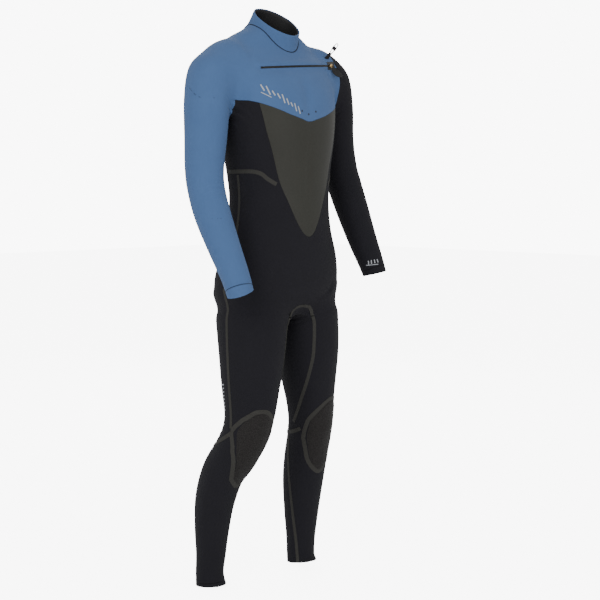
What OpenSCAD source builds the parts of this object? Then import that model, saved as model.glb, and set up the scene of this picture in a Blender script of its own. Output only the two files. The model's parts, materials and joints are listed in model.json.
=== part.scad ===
// Full-length chest-zip wetsuit, size medium, standing as if worn: front is -Y, the wearer's left is +X.
// Heights in the tables are above the wearer's floor line; the whole suit is then lowered by rest_h so that
// the origin sits at the base of the neck, where shoulders or a hanger carry the suit.

/* [Suit] */
// height of the base of the neck above the floor line
rest_h = 1450; // [1300:1:1600]
// neoprene thickness of the body panels
body_wall = 4; // [3:0.5:6]
// neoprene thickness of sleeves and legs
limb_wall = 3; // [2:0.5:5]
// clear gap kept between neighbouring panels
seam_gap = 0.3; // [0.3:0.1:1]
// half-width of the trunk between the two armhole seams
armhole_x = 169; // [150:1:180]
// height of the underarm seam
underarm_h = 1236; // [1200:1:1260]
// height where the trunk panels end above the legs
trunk_low_h = 850; // [830:1:900]

/* [Seam tape] */
// width of the glued seam tape
tape_w = 10; // [6:1:16]
// thickness of the glued seam tape
tape_t = 0.9; // [0.6:0.1:1.5]

/* [Collar] */
// thickness of the collar
collar_wall = 4; // [3:0.5:6]
// thickness of the smooth collar lining
lining_wall = 1.2; // [0.8:0.1:2]

/* [Zip] */
// height of the chest zip
zip_h = 1375; // [1350:1:1390]
// radius of the arc the zip follows round the chest
zip_r = 430; // [380:1:520]
// angle round the arc of the open end, on the wearer's right
zip_open_a = -15.5; // [-18:0.5:-12]
// angle round the arc of the parked slider, at the left shoulder
zip_park_a = 20.5; // [17:0.5:21]
// half-height of the opening left for the zip
zip_half = 8; // [7:0.5:11]
// slope of the zip, rising towards the wearer's left shoulder
zip_tilt = 4.7; // [0:0.1:6]
// lean of the zip pull away from the chest
pull_lean = 32; // [28:1:60]
// thickness of the zip tape
zip_tape_t = 1.2; // [0.8:0.1:2]

/* [Hidden] */
zip_cy = 361;
zip_path_y = -1;
$fn = 32;

// trunk sections: height, centre y, half-width, front depth, back depth, squareness
trunk_tab = [
 [770, 10, 116, 80, 96, 2.2], [805, 6, 160, 104, 114, 2.3], [850, 2, 171, 114, 122, 2.3],
 [910, -2, 163, 112, 110, 2.3], [980, -2, 145, 104, 98, 2.3], [1050, -2, 137, 102, 92, 2.3],
 [1120, 0, 143, 105, 96, 2.3], [1190, 2, 156, 111, 106, 2.3], [1250, 6, 166, 114, 114, 2.3],
 [1310, 12, 172, 110, 120, 2.3], [1360, 22, 176, 100, 114, 2.3], [1395, 32, 170, 86, 102, 2.2],
 [1420, 38, 148, 76, 90, 2], [1443, 38, 114, 66, 78, 2], [1464, 34, 78, 56, 62, 2], [1482, 32, 54, 44, 44, 2]];
// limb sections: centre x, y, height, half-width, front depth, back depth
right_arm_tab = [
 [-104, 32, 1380, 50, 56, 60], [-148, 32, 1378, 57, 60, 66], [-188, 28, 1350, 60, 60, 66],
 [-212, 24, 1284, 55, 55, 58], [-222, 20, 1200, 51, 50, 52], [-230, 16, 1130, 47, 46, 48],
 [-236, 4, 1080, 45, 44, 45], [-240, -22, 1020, 43, 43, 44], [-243, -62, 950, 39, 38, 39],
 [-245, -104, 880, 34, 33, 34], [-246, -124, 838, 32, 31, 32]];
left_arm_tab = [
 [104, 24, 1380, 50, 58, 60], [148, 20, 1378, 57, 64, 64], [188, 14, 1350, 60, 62, 62],
 [211, 12, 1284, 54, 54, 55], [224, 14, 1200, 50, 49, 51], [234, 6, 1130, 47, 45, 47],
 [242, -8, 1080, 45, 43, 45], [249, -28, 1020, 43, 41, 42], [256, -54, 950, 38, 37, 38],
 [261, -82, 886, 33, 32, 33], [262, -94, 858, 31, 30, 31]];
right_leg_tab = [
 [-84, 6, 800, 84, 102, 104], [-92, 0, 740, 83, 94, 92], [-100, -6, 670, 79, 86, 80],
 [-108, -12, 600, 72, 76, 72], [-116, -16, 530, 62, 66, 62], [-126, -10, 480, 56, 58, 57],
 [-133, 13, 430, 54, 54, 58], [-138, 52, 370, 53, 48, 60], [-141, 78, 300, 49, 45, 56],
 [-142, 91, 230, 44, 42, 48], [-141, 98, 160, 38, 37, 40], [-142, 102, 110, 35, 35, 38],
 [-142, 100, 80, 37, 43, 38]];
left_leg_tab = [
 [84, 6, 800, 84, 104, 104], [92, 0, 740, 83, 96, 92], [102, -2, 670, 79, 86, 80],
 [111, 0, 600, 71, 74, 72], [121, 4, 530, 61, 63, 62], [128, 10, 480, 57, 57, 57],
 [133, 20, 430, 55, 55, 58], [136, 32, 370, 54, 54, 60], [139, 44, 300, 51, 50, 56],
 [141, 52, 230, 46, 44, 48], [142, 56, 160, 39, 38, 40], [142, 56, 110, 37, 36, 38],
 [142, 54, 92, 38, 42, 38]];
// hinge centres, above the floor line
right_elbow = [-236, 4, 1080];
left_elbow = [242, -8, 1080];
right_knee = [-130, 6, 450];
left_knee = [131, 16, 450];

function curve(a, b, c, d, t) =
  0.5 * (2 * b + (c - a) * t + (2 * a - 5 * b + 4 * c - d) * t * t + (3 * b - a - 3 * c + d) * t * t * t);
function at(tab, u) =
  let (m = len(tab) - 1, i = min(floor(u), m - 1), t = u - i)
  curve(tab[max(i - 1, 0)], tab[i], tab[i + 1], tab[min(i + 2, m)], t);
function unit(v) = v / norm(v);
function sgn_pow(v, e) = (v < 0 ? -1 : 1) * pow(abs(v), e);

// one ring of the trunk, grown outward by g
function trunk_ring(u, g, n) =
  let (s = at(trunk_tab, u), e = 2 / s[5])
  [for (k = [0 : n - 1]) let (q = 360 * k / n, c = cos(q), w = sin(q))
    [(s[2] + g) * sgn_pow(c, e), s[1] + (w < 0 ? s[3] + g : s[4] + g) * sgn_pow(w, e), s[0]]];
// one ring of a limb, square to its centre line
function limb_ring(tab, u, g, n) =
  let (s = at(tab, u), m = len(tab) - 1, p = at(tab, max(u - 0.05, 0)), q = at(tab, min(u + 0.05, m)),
       dir = unit([q[0] - p[0], q[1] - p[1], q[2] - p[2]]),
       side = unit([1, 0, 0] - dir * dir[0]), f0 = cross(side, dir), fr = f0[1] > 0 ? -f0 : f0)
  [for (k = [0 : n - 1]) let (a = 360 * k / n)
    [s[0], s[1], s[2]] + side * (s[3] + g) * cos(a) + fr * ((sin(a) > 0 ? s[4] : s[5]) + g) * sin(a)];
function collar_ring(t, g, n) =
  let (tilt = 29 - 2 * t, rx = 62 - 5 * t + g, ry = 70 - 8 * t + g)
  [for (k = [0 : n - 1]) let (a = 360 * k / n)
    [rx * cos(a), 16 - 22 * t + ry * sin(a) * cos(tilt), 1449 + 42 * t + ry * sin(a) * sin(tilt)]];

function side_faces(m, n, o, flip) =
  [for (i = [0 : m - 2], k = [0 : n - 1]) let (a = o + i * n + k, b = o + i * n + (k + 1) % n)
    each flip ? [[b, a, a + n], [b, a + n, b + n]] : [[a, b, b + n], [a, b + n, a + n]]];
// closed solid through a list of rings
module loft(rings, flip = false) {
  m = len(rings); n = len(rings[0]);
  low = [for (k = [0 : n - 1]) k];
  top = [for (k = [0 : n - 1]) (m - 1) * n + k];
  polyhedron([for (r = rings) each r],
    concat(side_faces(m, n, 0, flip), flip ? [low, [for (k = [n - 1 : -1 : 0]) top[k]]]
      : [[for (k = [n - 1 : -1 : 0]) low[k]], top]), convexity = 6);
}
// open tube between an outer and an inner list of rings
module tube(outer, inner, flip = false) {
  m = len(outer); n = len(outer[0]); o = m * n; e = (m - 1) * n;
  rim = [for (k = [0 : n - 1]) let (j = (k + 1) % n)
    each flip ? [[k, j, o + j], [k, o + j, o + k], [e + j, e + k, o + e + k], [e + j, o + e + k, o + e + j]]
      : [[j, k, o + k], [j, o + k, o + j], [e + k, e + j, o + e + j], [e + k, o + e + j, o + e + k]]];
  polyhedron(concat([for (r = outer) each r], [for (r = inner) each r]),
    concat(side_faces(m, n, 0, flip), side_faces(m, n, o, !flip), rim), convexity = 6);
}
module place() { translate([0, 0, -rest_h]) children(); }
// keeps a set of panels as one closed mesh
module panel() { place() resize([0, 0, 0]) children(); }
module limb_piece(tab, u0, u1, steps, flip, g = 0, w = limb_wall, n = 20) {
  us = [for (i = [0 : steps]) u0 + (u1 - u0) * i / steps];
  place() tube([for (u = us) limb_ring(tab, u, g, n)], [for (u = us) limb_ring(tab, u, g - w, n)], flip);
}
module limb_solid(tab, u0, u1, steps, flip, g, n = 20, extra = 0, head = 0)
  loft(concat([for (i = [0 : steps]) limb_ring(tab, u0 + (u1 - u0) * i / steps, i == 0 ? g - head : g, n)],
    extra > 0 ? [limb_ring(tab, u1 + extra, g, n)] : []), flip);

trunk_n = 36;
// outside of trunk, upper sleeves and upper legs, grown by g
module trunk_solid(g) loft([for (i = [0 : 30]) trunk_ring(i == 0 && g < 0 ? 0.12 : i / 2, g, trunk_n)], true);
module body_solid(g, extra = 0) {
  trunk_solid(g);
  limb_solid(right_arm_tab, 0.4, 4, 8, true, g, 20, extra);
  limb_solid(left_arm_tab, 0.4, 4, 8, true, g, 20, extra);
  limb_solid(right_leg_tab, 0, 1.596, 5, true, g, 24, extra, 14);
  limb_solid(left_leg_tab, 0, 1.6, 5, true, g, 24, extra, 14);
}
module neck_core(g) loft([for (t = [-0.35 : 0.43 : 1.9]) collar_ring(t, g, 36)], true);
module body_shell() difference() {
  body_solid(0);
  body_solid(-body_wall, 0.1);
  neck_core(seam_gap);
}
module tape_shell(h0, h1) difference() {
  body_solid(tape_t + seam_gap);
  body_solid(seam_gap, 0.1);
  neck_core(5);
}
// upright prism from a front-view outline (x, height), from y0 to y1
module front_cut(outline, y0, y1, grow = 0)
  translate([0, y1, 0]) rotate([90, 0, 0]) linear_extrude(y1 - y0)
    offset(delta = grow) polygon(outline);
module slab(x0, x1, y0, y1, h0, h1) translate([x0, y0, h0]) cube([x1 - x0, y1 - y0, h1 - h0]);
half_gap = seam_gap / 2;
yoke_x = 150;
gusset_x = 34;
gusset_low_h = 735;
side_y0 = -34;
side_y1 = 40;
v_edge = [[0, 1240], [23, 1245], [60, 1255], [99, 1269], [133, 1281], [150, 1286], [180, 1290]];
belly_edge = [[119, 1216], [99, 1150], [82, 1091], [60, 1044], [40, 1003], [21, 974], [8, 964], [0, 962]];
function mirrored(list) = [for (p = list) [-p[0], p[1]]];
function reversed(list) = [for (i = [len(list) - 1 : -1 : 0]) list[i]];
v_line = concat(reversed(mirrored(v_edge)), [for (i = [1 : len(v_edge) - 1]) v_edge[i]]);
v_top = [[-133, 1281], [-99, 1269], [-60, 1255], [-23, 1245], [0, 1240],
  [23, 1245], [60, 1255], [99, 1269], [133, 1281]];
belly_outline = concat(v_top, belly_edge,
  [for (i = [len(belly_edge) - 2 : -1 : 0]) [-belly_edge[i][0], belly_edge[i][1]]]);

// ring sector about the zip centre, from radius r0 to r1
module zip_arc(r0, r1, h0, h1, a0, a1)
  translate([0, zip_cy, h0]) rotate([0, 0, a0 - 90]) rotate_extrude(angle = a1 - a0, $fn = 360)
    translate([r0, 0]) square([r1 - r0, h1 - h0]);
// slopes the zip about the middle of its arc
module zip_lean() translate([0, zip_cy, zip_h]) rotate([0, -zip_tilt, 0]) translate([0, -zip_cy, -zip_h]) children();
module above_zip() zip_lean() slab(-300, 300, -300, 250, zip_h + half_gap, 1600);
module below_zip() zip_lean() slab(-300, 300, -300, 250, 1100, zip_h - half_gap);
module below_zip_edge() zip_lean() slab(-300, 300, -300, 250, 1100, zip_h + half_gap);
module zip_slot() zip_lean() {
  translate([0, zip_cy, 0]) rotate([0, 0, zip_open_a - 91.2])
    rotate_extrude(angle = zip_park_a - zip_open_a + 2.4, $fn = 120)
    translate([zip_r - 40, zip_h - zip_half]) square([90, 2 * zip_half]);
}
module drain_holes() for (p = [[-24, 1265], [0, 1258], [24, 1265]])
  translate([p[0], -90, p[1]]) rotate([90, 0, 0]) cylinder(h = 40, r = 1.6, $fn = 12);

module collar() color("steelblue")
  place() tube([for (t = [0.02 : 0.245 : 1]) collar_ring(t, 0, 36)],
    [for (t = [0.02 : 0.245 : 1]) collar_ring(t, -collar_wall, 36)], true);
module collar_lining() color("black")
  place() tube([for (t = [-0.3 : 0.41 : 0.95]) collar_ring(t, -collar_wall - 0.3, 36)],
    [for (t = [-0.3 : 0.41 : 0.95]) collar_ring(t, -collar_wall - 0.3 - lining_wall, 36)], true);
module shoulder_yoke() color("steelblue") panel() difference() {
  intersection() {
    difference() { trunk_solid(0); trunk_solid(-body_wall); neck_core(seam_gap); }
    slab(-yoke_x, yoke_x, -200, side_y1, 1340, 1500);
    above_zip();
  }
  zip_slot();
}
module upper_back_panel() color("steelblue") panel() intersection() {
  body_shell();
  slab(-armhole_x, armhole_x, side_y1 + seam_gap, 300, 1330 + half_gap, 1500);
}
module chest_panel() color("steelblue") panel() difference() {
  intersection() {
    body_shell();
    front_cut(concat(v_line, [[180, 1420], [-180, 1420]]), -200, side_y0 + 60, -half_gap);
    slab(-armhole_x, armhole_x, -200, 60, 1200, 1410);
    below_zip();
  }
  zip_slot();
  slab(-200, 200, side_y0, 60, 1200, underarm_h + half_gap);
  drain_holes();
}
module belly_panel() color("darkolivegreen") panel() intersection() {
  body_shell();
  front_cut(belly_outline, -200, side_y0, -half_gap);
}
module front_panel(s) color("black") panel() difference() {
  intersection() {
    body_shell();
    front_cut(concat(v_line, [[180, trunk_low_h], [-180, trunk_low_h]]),
      -200, side_y0 - half_gap, -half_gap);
    slab(s > 0 ? half_gap : -armhole_x - 6, s > 0 ? armhole_x + 6 : -half_gap, -200, 0, 800, 1300);
  }
  front_cut(belly_outline, -201, 0, half_gap);
}
module right_front_panel() front_panel(-1);
module left_front_panel() front_panel(1);
module side_panel(s) color("black") panel() intersection() {
  body_shell();
  scale([s, 1, 1]) union() {
    slab(40, 180, side_y0 + half_gap, side_y1 - half_gap, trunk_low_h + half_gap, 1150);
    slab(40, armhole_x - 5, side_y0 + half_gap, side_y1 - half_gap, 1149, underarm_h - half_gap);
  }
}
module right_side_panel() side_panel(-1);
module left_side_panel() side_panel(1);
module back_panel() color("black") panel() intersection() {
  body_shell();
  slab(-armhole_x, armhole_x, side_y1 + half_gap, 300, 1010 + half_gap, 1330 - half_gap);
}
module seat_panel() color("black") panel() intersection() {
  body_shell();
  slab(-armhole_x - 5, armhole_x + 5, side_y1 + half_gap, 300, trunk_low_h + half_gap, 1010 - half_gap);
}
module shoulder_panel(s, c) color(c) panel() difference() {
  intersection() {
    body_shell();
    scale([s, 1, 1]) union() {
      slab(armhole_x + seam_gap, 300, -200, 200, 1150, 1460);
      slab(yoke_x + seam_gap, 300, -200, side_y1, 1340, 1460);
    }
  }
  intersection() { slab(-armhole_x - seam_gap, armhole_x + seam_gap, -200, side_y1 - 14, 1200, 1420); below_zip_edge(); }
  slab(-armhole_x - 4, armhole_x + 4, -200, 200, 1100, underarm_h - 10);
  zip_slot();
}
module right_shoulder_panel() shoulder_panel(-1, "steelblue");
module left_shoulder_panel() shoulder_panel(1, "black");
module hip_panel(s) color("black") panel() intersection() {
  body_shell();
  scale([s, 1, 1]) union() {
    slab(gusset_x, 260, -200, 260, 600, trunk_low_h - half_gap);
    slab(half_gap, 260, -200, 260, 600, gusset_low_h - seam_gap);
  }
}
module right_hip_panel() hip_panel(-1);
module left_hip_panel() hip_panel(1);
module crotch_gusset() color("black") panel() intersection() {
  body_shell();
  slab(seam_gap - gusset_x, gusset_x - seam_gap, -200, 260, gusset_low_h, trunk_low_h - half_gap);
}
module chest_barrier() color("black") panel() intersection() {
  difference() { trunk_solid(-body_wall - 6); trunk_solid(-body_wall - 7.5); }
  slab(-122, 122, -200, -5, 1300, 1400);
}

// zip
module zip_tape(h0, h1) color("dimgray") place() zip_lean()
  zip_arc(zip_r - zip_tape_t / 2, zip_r + zip_tape_t / 2, zip_h + h0, zip_h + h1,
    zip_open_a - 0.8, zip_park_a + 0.8);
module zip_tape_upper() zip_tape(2.7, zip_half - 0.3);
module zip_tape_lower() zip_tape(0.3 - zip_half, -2.7);
module zip_teeth(h0, h1) color("black") place() zip_lean()
  zip_arc(zip_r - 1.2, zip_r + 1.2, zip_h + h0, zip_h + h1, zip_open_a, zip_park_a);
module zip_teeth_upper() zip_teeth(0.7, 2.4);
module zip_teeth_lower() zip_teeth(-2.4, -0.7);
module zip_stop(a) zip_lean() translate([0, zip_cy, zip_h]) rotate([0, 0, a])
  translate([-1, -zip_r - 1.6, -2.4]) cube([2, 3.2, 4.8]);
module zip_stops() color("black") place() { zip_stop(zip_open_a - 0.25); zip_stop(zip_park_a + 0.25); }
// puts a part on the zip arc: x along the zip, y inward, z up
slider_a = zip_park_a - 1.2;
module on_slider() place() zip_lean() translate([0, zip_cy, zip_h]) rotate([0, 0, slider_a])
  translate([0, -zip_r, 0]) children();
module zip_slider() color("goldenrod") on_slider() {
  for (y = [-3.2, 1.9]) translate([-6.5, y, -4.6]) cube([13, 1.3, 9.2]);
  translate([-6.5, -2, -0.35]) cube([2.4, 4, 0.7]);
  for (x = [-5, 3.8]) translate([x, -6.4, -1.1]) cube([1.2, 3.4, 2.2]);
  translate([-4.2, -5.4, 0]) rotate([0, 90, 0]) cylinder(h = 8.4, r = 0.9);
}
module zip_pull() color("black") on_slider() translate([0, -5.4, 0]) rotate([-pull_lean, 0, 0]) {
  difference() {
    translate([-2.6, 0, 0]) rotate([0, 90, 0]) cylinder(h = 5.2, r = 2.2);
    translate([-3, 0, 0]) rotate([0, 90, 0]) cylinder(h = 6, r = 1.25);
  }
  translate([0, 1, 0]) rotate([90, 0, 0]) linear_extrude(2)
    polygon([[-2.4, -1.9], [-2.4, -5], [-8, -8], [-9, -18], [-7, -28], [-1, -35], [7, -38],
      [10, -35], [9, -24], [8, -12], [6, -7], [2.4, -5], [2.4, -1.9]]);
}

// neck drawcord on the left shoulder
cord_at = [133, -37.5, 1403];
module at_cord() place() translate(cord_at) rotate([24, 30, 0]) children();
module cord_tab() color("black") at_cord() translate([-7, -1, 0]) cube([14, 2, 20]);
module cord_loop() color("black") at_cord() translate([0, 0, 21]) {
  for (x = [-4, 4]) translate([x, 0, 0]) cylinder(h = 24, r = 1.1);
  translate([0, 0, 24]) rotate([90, 0, 0])
    rotate_extrude(angle = 180, $fn = 48) translate([4, 0]) circle(r = 1.1);
}
module cord_lock() color("black") at_cord() translate([0, 0, 30]) difference() {
  translate([-6, -3, 0]) cube([12, 6, 9]);
  for (x = [-4, 4]) translate([x, 0, -1]) cylinder(h = 11, r = 1.4);
}

// seam tape
module tape_strip(path, y0, y1, w = tape_w)
  for (i = [0 : len(path) - 2])
    let (a = path[i], b = path[i + 1], d = unit([b[0] - a[0], b[1] - a[1]]), q = [-d[1], d[0]] * w / 2)
    front_cut([a - q - d, b - q + d, b + q + d, a + q - d], y0, y1);
waist_path = [[140, 1120], [130, 1120], [120, 1114], [109, 1102], [92, 1090]];
module waist_tape(s) color("dimgray") panel() intersection() {
  tape_shell();
  union() {
    tape_strip(s > 0 ? waist_path : mirrored(waist_path), -200, side_y0 - 3);
    slab(s > 0 ? 100 : -160, s > 0 ? 160 : -100, side_y0 - 5, side_y1 - 6, 1115, 1115 + tape_w);
  }
}
module right_waist_tape() waist_tape(-1);
module left_waist_tape() waist_tape(1);
module limb_tape(tab, u0, u1, a0, a1, steps, flip) {
  // strip along a limb between two angles round it
  us = [for (i = [0 : steps]) u0 + (u1 - u0) * i / steps];
  function pick(r) = [r[a0], r[a1]];
  rows = [for (u = us)
    let (o = pick(limb_ring(tab, u, tape_t + 1.1, 60)), n = pick(limb_ring(tab, u, 1.1, 60)))
    [o[0], o[1], n[1], n[0]]];
  place() loft(rows, flip);
}
module right_leg_outer_tape() color("dimgray") limb_tape(right_leg_tab, 2.02, 4.05, 29, 31, 6, true);
module left_leg_outer_tape() color("dimgray") limb_tape(left_leg_tab, 2.02, 4.05, 59, 1, 6, true);
module right_leg_inner_tape() color("dimgray") limb_tape(right_leg_tab, 7.1, 11.6, 52, 54, 8, true);
module left_leg_inner_tape() color("dimgray") limb_tape(left_leg_tab, 7.1, 11.6, 36, 38, 8, true);

// sleeves
module right_upper_sleeve() color("steelblue") limb_piece(right_arm_tab, 4.01, 5.05, 3, true);
module right_elbow_panel() color("steelblue") limb_piece(right_arm_tab, 5.06, 6.94, 5, true);
module right_forearm_sleeve() color("steelblue") limb_piece(right_arm_tab, 6.95, 9.6, 6, true);
module right_wrist_cuff() color("steelblue") limb_piece(right_arm_tab, 9.61, 10, 1, true);
module left_upper_sleeve() color("black") limb_piece(left_arm_tab, 4.01, 5.05, 3, true);
module left_elbow_panel() color("black") limb_piece(left_arm_tab, 5.06, 6.94, 5, true);
module left_forearm_sleeve() color("black") limb_piece(left_arm_tab, 6.95, 9.5, 6, true);
module left_wrist_cuff() color("black") limb_piece(left_arm_tab, 9.51, 10, 1, true);

// legs
module right_thigh_panel() color("black") limb_piece(right_leg_tab, 1.61, 4.1, 6, true, 0, limb_wall, 24);
module right_knee_panel() color("black") limb_piece(right_leg_tab, 4.11, 6.69, 6, true, 0, limb_wall, 24);
module right_calf_panel() color("black") limb_piece(right_leg_tab, 6.7, 11.6, 8, true, 0, limb_wall, 24);
module right_ankle_cuff() color("black") limb_piece(right_leg_tab, 11.61, 12, 2, true, 0, limb_wall, 24);
module left_thigh_panel() color("black") limb_piece(left_leg_tab, 1.61, 4.1, 6, true, 0, limb_wall, 24);
module left_knee_panel() color("black") limb_piece(left_leg_tab, 4.11, 6.69, 6, true, 0, limb_wall, 24);
module left_calf_panel() color("black") limb_piece(left_leg_tab, 6.7, 11.6, 8, true, 0, limb_wall, 24);
module left_ankle_cuff() color("black") limb_piece(left_leg_tab, 11.61, 12, 2, true, 0, limb_wall, 24);
// knee pads: a curved sheet over the front of the knee, outlined from the front
pad_edge = [[-50, 43], [-41, 69], [-30, 82], [-19, 91], [-4, 93], [12, 89], [28, 76], [42, 58], [50, 38], [50, 14],
  [48, -10], [43, -30], [34, -66], [22, -88], [6, -103], [-8, -103], [-21, -92], [-33, -76], [-44, -28], [-49, 0]];
// the same rings as the thigh, knee and calf panels, so the sheet follows their faces
knee_us = [3.27, 3.685, 4.105, 4.54, 4.97, 5.4, 5.83, 6.26, 6.695, 7.3125, 7.925];
module knee_sheet(tab, knee, s, g0, g1, inset, hollow) panel() difference() {
  intersection() {
    difference() {
      loft([for (u = knee_us) limb_ring(tab, u, g1, 24)], true);
      loft([for (u = concat([2.855], knee_us, [8.5375])) limb_ring(tab, u, g0, 24)], true);
    }
    translate([knee[0], knee[1] + 14, knee[2]]) rotate([90, 0, 0])
      linear_extrude(120) offset(delta = inset) scale([s, 1]) polygon(pad_edge);
  }
  // nothing behind the side of the knee
  translate([knee[0] - 60, knee[1] - 8, knee[2] + 6]) cube([120, 60, 100]);
  if (hollow) translate([knee[0], knee[1] + 15, knee[2]]) rotate([90, 0, 0])
    linear_extrude(122) offset(delta = 0.2) scale([s, 1]) polygon(pad_edge);
}
module right_knee_pad() color("black") knee_sheet(right_leg_tab, right_knee, 1, seam_gap, 3.3, -0.2, false);
module left_knee_pad() color("black") knee_sheet(left_leg_tab, left_knee, -1, seam_gap, 3.3, -0.2, false);
module right_knee_tape() color("dimgray") knee_sheet(right_leg_tab, right_knee, 1, seam_gap, 1.2, 8, true);
module left_knee_tape() color("dimgray") knee_sheet(left_leg_tab, left_knee, -1, seam_gap, 1.2, 8, true);

collar();
collar_lining();
shoulder_yoke();
upper_back_panel();
chest_panel();
belly_panel();
right_front_panel();
left_front_panel();
right_side_panel();
left_side_panel();
back_panel();
seat_panel();
chest_barrier();
right_shoulder_panel();
left_shoulder_panel();
right_hip_panel();
left_hip_panel();
crotch_gusset();
zip_tape_upper();
zip_tape_lower();
zip_teeth_upper();
zip_teeth_lower();
zip_stops();
zip_slider();
zip_pull();
cord_tab();
cord_loop();
cord_lock();
right_waist_tape();
left_waist_tape();
right_upper_sleeve();
right_elbow_panel();
right_forearm_sleeve();
right_wrist_cuff();
left_upper_sleeve();
left_elbow_panel();
left_forearm_sleeve();
left_wrist_cuff();
right_thigh_panel();
right_knee_panel();
right_calf_panel();
right_ankle_cuff();
left_thigh_panel();
left_knee_panel();
left_calf_panel();
left_ankle_cuff();
right_knee_pad();
left_knee_pad();
right_knee_tape();
left_knee_tape();
right_leg_outer_tape();
left_leg_outer_tape();
right_leg_inner_tape();
left_leg_inner_tape();
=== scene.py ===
import bpy, bmesh, json, math
import numpy as np
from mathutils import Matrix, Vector

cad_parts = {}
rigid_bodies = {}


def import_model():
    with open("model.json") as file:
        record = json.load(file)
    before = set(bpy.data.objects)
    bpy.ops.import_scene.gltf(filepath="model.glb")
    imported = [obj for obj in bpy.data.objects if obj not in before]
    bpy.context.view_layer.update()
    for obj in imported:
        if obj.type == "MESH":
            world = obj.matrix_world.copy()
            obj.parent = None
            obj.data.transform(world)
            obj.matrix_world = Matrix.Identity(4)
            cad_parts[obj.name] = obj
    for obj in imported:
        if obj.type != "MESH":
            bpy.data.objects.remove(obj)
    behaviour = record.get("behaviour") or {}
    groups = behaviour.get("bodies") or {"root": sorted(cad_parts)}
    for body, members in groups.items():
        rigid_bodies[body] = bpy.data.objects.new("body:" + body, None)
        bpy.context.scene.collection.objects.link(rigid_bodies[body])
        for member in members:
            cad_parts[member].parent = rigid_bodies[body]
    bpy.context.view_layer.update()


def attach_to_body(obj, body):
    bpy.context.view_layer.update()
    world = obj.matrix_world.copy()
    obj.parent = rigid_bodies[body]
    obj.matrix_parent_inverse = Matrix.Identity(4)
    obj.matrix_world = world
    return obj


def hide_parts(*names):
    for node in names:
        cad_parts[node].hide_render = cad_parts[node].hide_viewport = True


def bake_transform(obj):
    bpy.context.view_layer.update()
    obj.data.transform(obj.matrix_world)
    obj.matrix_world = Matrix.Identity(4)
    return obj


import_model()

FLOOR_H = 1450.0            # height of the frame's origin above the wearer's floor line, mm
NO_SEAM = 50.0              # mm, a distance that counts as far from any seam


def M(p):
    """mm above the wearer's floor line -> metres in the frame"""
    p = np.asarray(p, float)
    q = p / 1000.0
    q[..., 2] -= FLOOR_H / 1000.0
    return q


# ------------------------------------------------------------------ camera
CAM_TURN, CAM_FAR = -45, 3200.0      # degrees to the wearer's right, mm away
CAM_H, AIM_H = 1088.0, 800.0         # heights of the lens and of what it looks at
CAM_SHIFT = 0.0367                   # share of the picture's width


def make_camera():
    cam = bpy.data.objects.new("camera", bpy.data.cameras.new("camera"))
    bpy.context.scene.collection.objects.link(cam)
    bpy.context.scene.camera = cam
    a = math.radians(CAM_TURN)
    eye = Vector(M([math.sin(a) * CAM_FAR, -math.cos(a) * CAM_FAR, CAM_H]))
    aim = Vector(M([0.0, 0.0, AIM_H]))
    cam.location = eye
    cam.rotation_euler = (aim - eye).to_track_quat("-Z", "Y").to_euler()
    cam.data.sensor_width = 36
    cam.data.lens = 76.8
    cam.data.shift_x = CAM_SHIFT
    cam.data.clip_end = 50
    return cam


make_camera()

# ------------------------------------------------------------------ body tables, mm
# trunk: height, centre y, half width, half depth in front and behind, roundness
# limbs: centre x, y, height, half width, half depth in front and behind
TRUNK = [
    (770, 10, 116, 80, 96, 2.2), (805, 6, 160, 104, 114, 2.3), (850, 2, 171, 114, 122, 2.3),
    (910, -2, 163, 112, 110, 2.3), (980, -2, 145, 104, 98, 2.3), (1050, -2, 137, 102, 92, 2.3),
    (1120, 0, 143, 105, 96, 2.3), (1190, 2, 156, 111, 106, 2.3), (1250, 6, 166, 114, 114, 2.3),
    (1310, 12, 172, 110, 120, 2.3), (1360, 22, 176, 100, 114, 2.3), (1395, 32, 170, 86, 102, 2.2),
    (1420, 38, 148, 76, 90, 2.0), (1443, 38, 114, 66, 78, 2.0), (1464, 34, 78, 56, 62, 2.0),
    (1482, 32, 54, 44, 44, 2.0)]
R_ARM = [
    (-104, 32, 1380, 50, 56, 60), (-148, 32, 1378, 57, 60, 66), (-188, 28, 1350, 60, 60, 66),
    (-212, 24, 1284, 55, 55, 58), (-222, 20, 1200, 51, 50, 52), (-230, 16, 1130, 47, 46, 48),
    (-236, 4, 1080, 45, 44, 45), (-240, -22, 1020, 43, 43, 44), (-243, -62, 950, 39, 38, 39),
    (-245, -104, 880, 34, 33, 34), (-246, -124, 838, 32, 31, 32)]
L_ARM = [
    (104, 24, 1380, 50, 58, 60), (148, 20, 1378, 57, 64, 64), (188, 14, 1350, 60, 62, 62),
    (211, 12, 1284, 54, 54, 55), (224, 14, 1200, 50, 49, 51), (234, 6, 1130, 47, 45, 47),
    (242, -8, 1080, 45, 43, 45), (249, -28, 1020, 43, 41, 42), (256, -54, 950, 38, 37, 38),
    (261, -82, 886, 33, 32, 33), (262, -94, 858, 31, 30, 31)]
R_LEG = [
    (-84, 6, 800, 84, 102, 104), (-92, 0, 740, 83, 94, 92), (-100, -6, 670, 79, 86, 80),
    (-108, -12, 600, 72, 76, 72), (-116, -16, 530, 62, 66, 62), (-126, -10, 480, 56, 58, 57),
    (-133, 13, 430, 54, 54, 58), (-138, 52, 370, 53, 48, 60), (-141, 78, 300, 49, 45, 56),
    (-142, 91, 230, 44, 42, 48), (-141, 98, 160, 38, 37, 40), (-142, 102, 110, 35, 35, 38),
    (-142, 100, 80, 37, 43, 38)]
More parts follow.
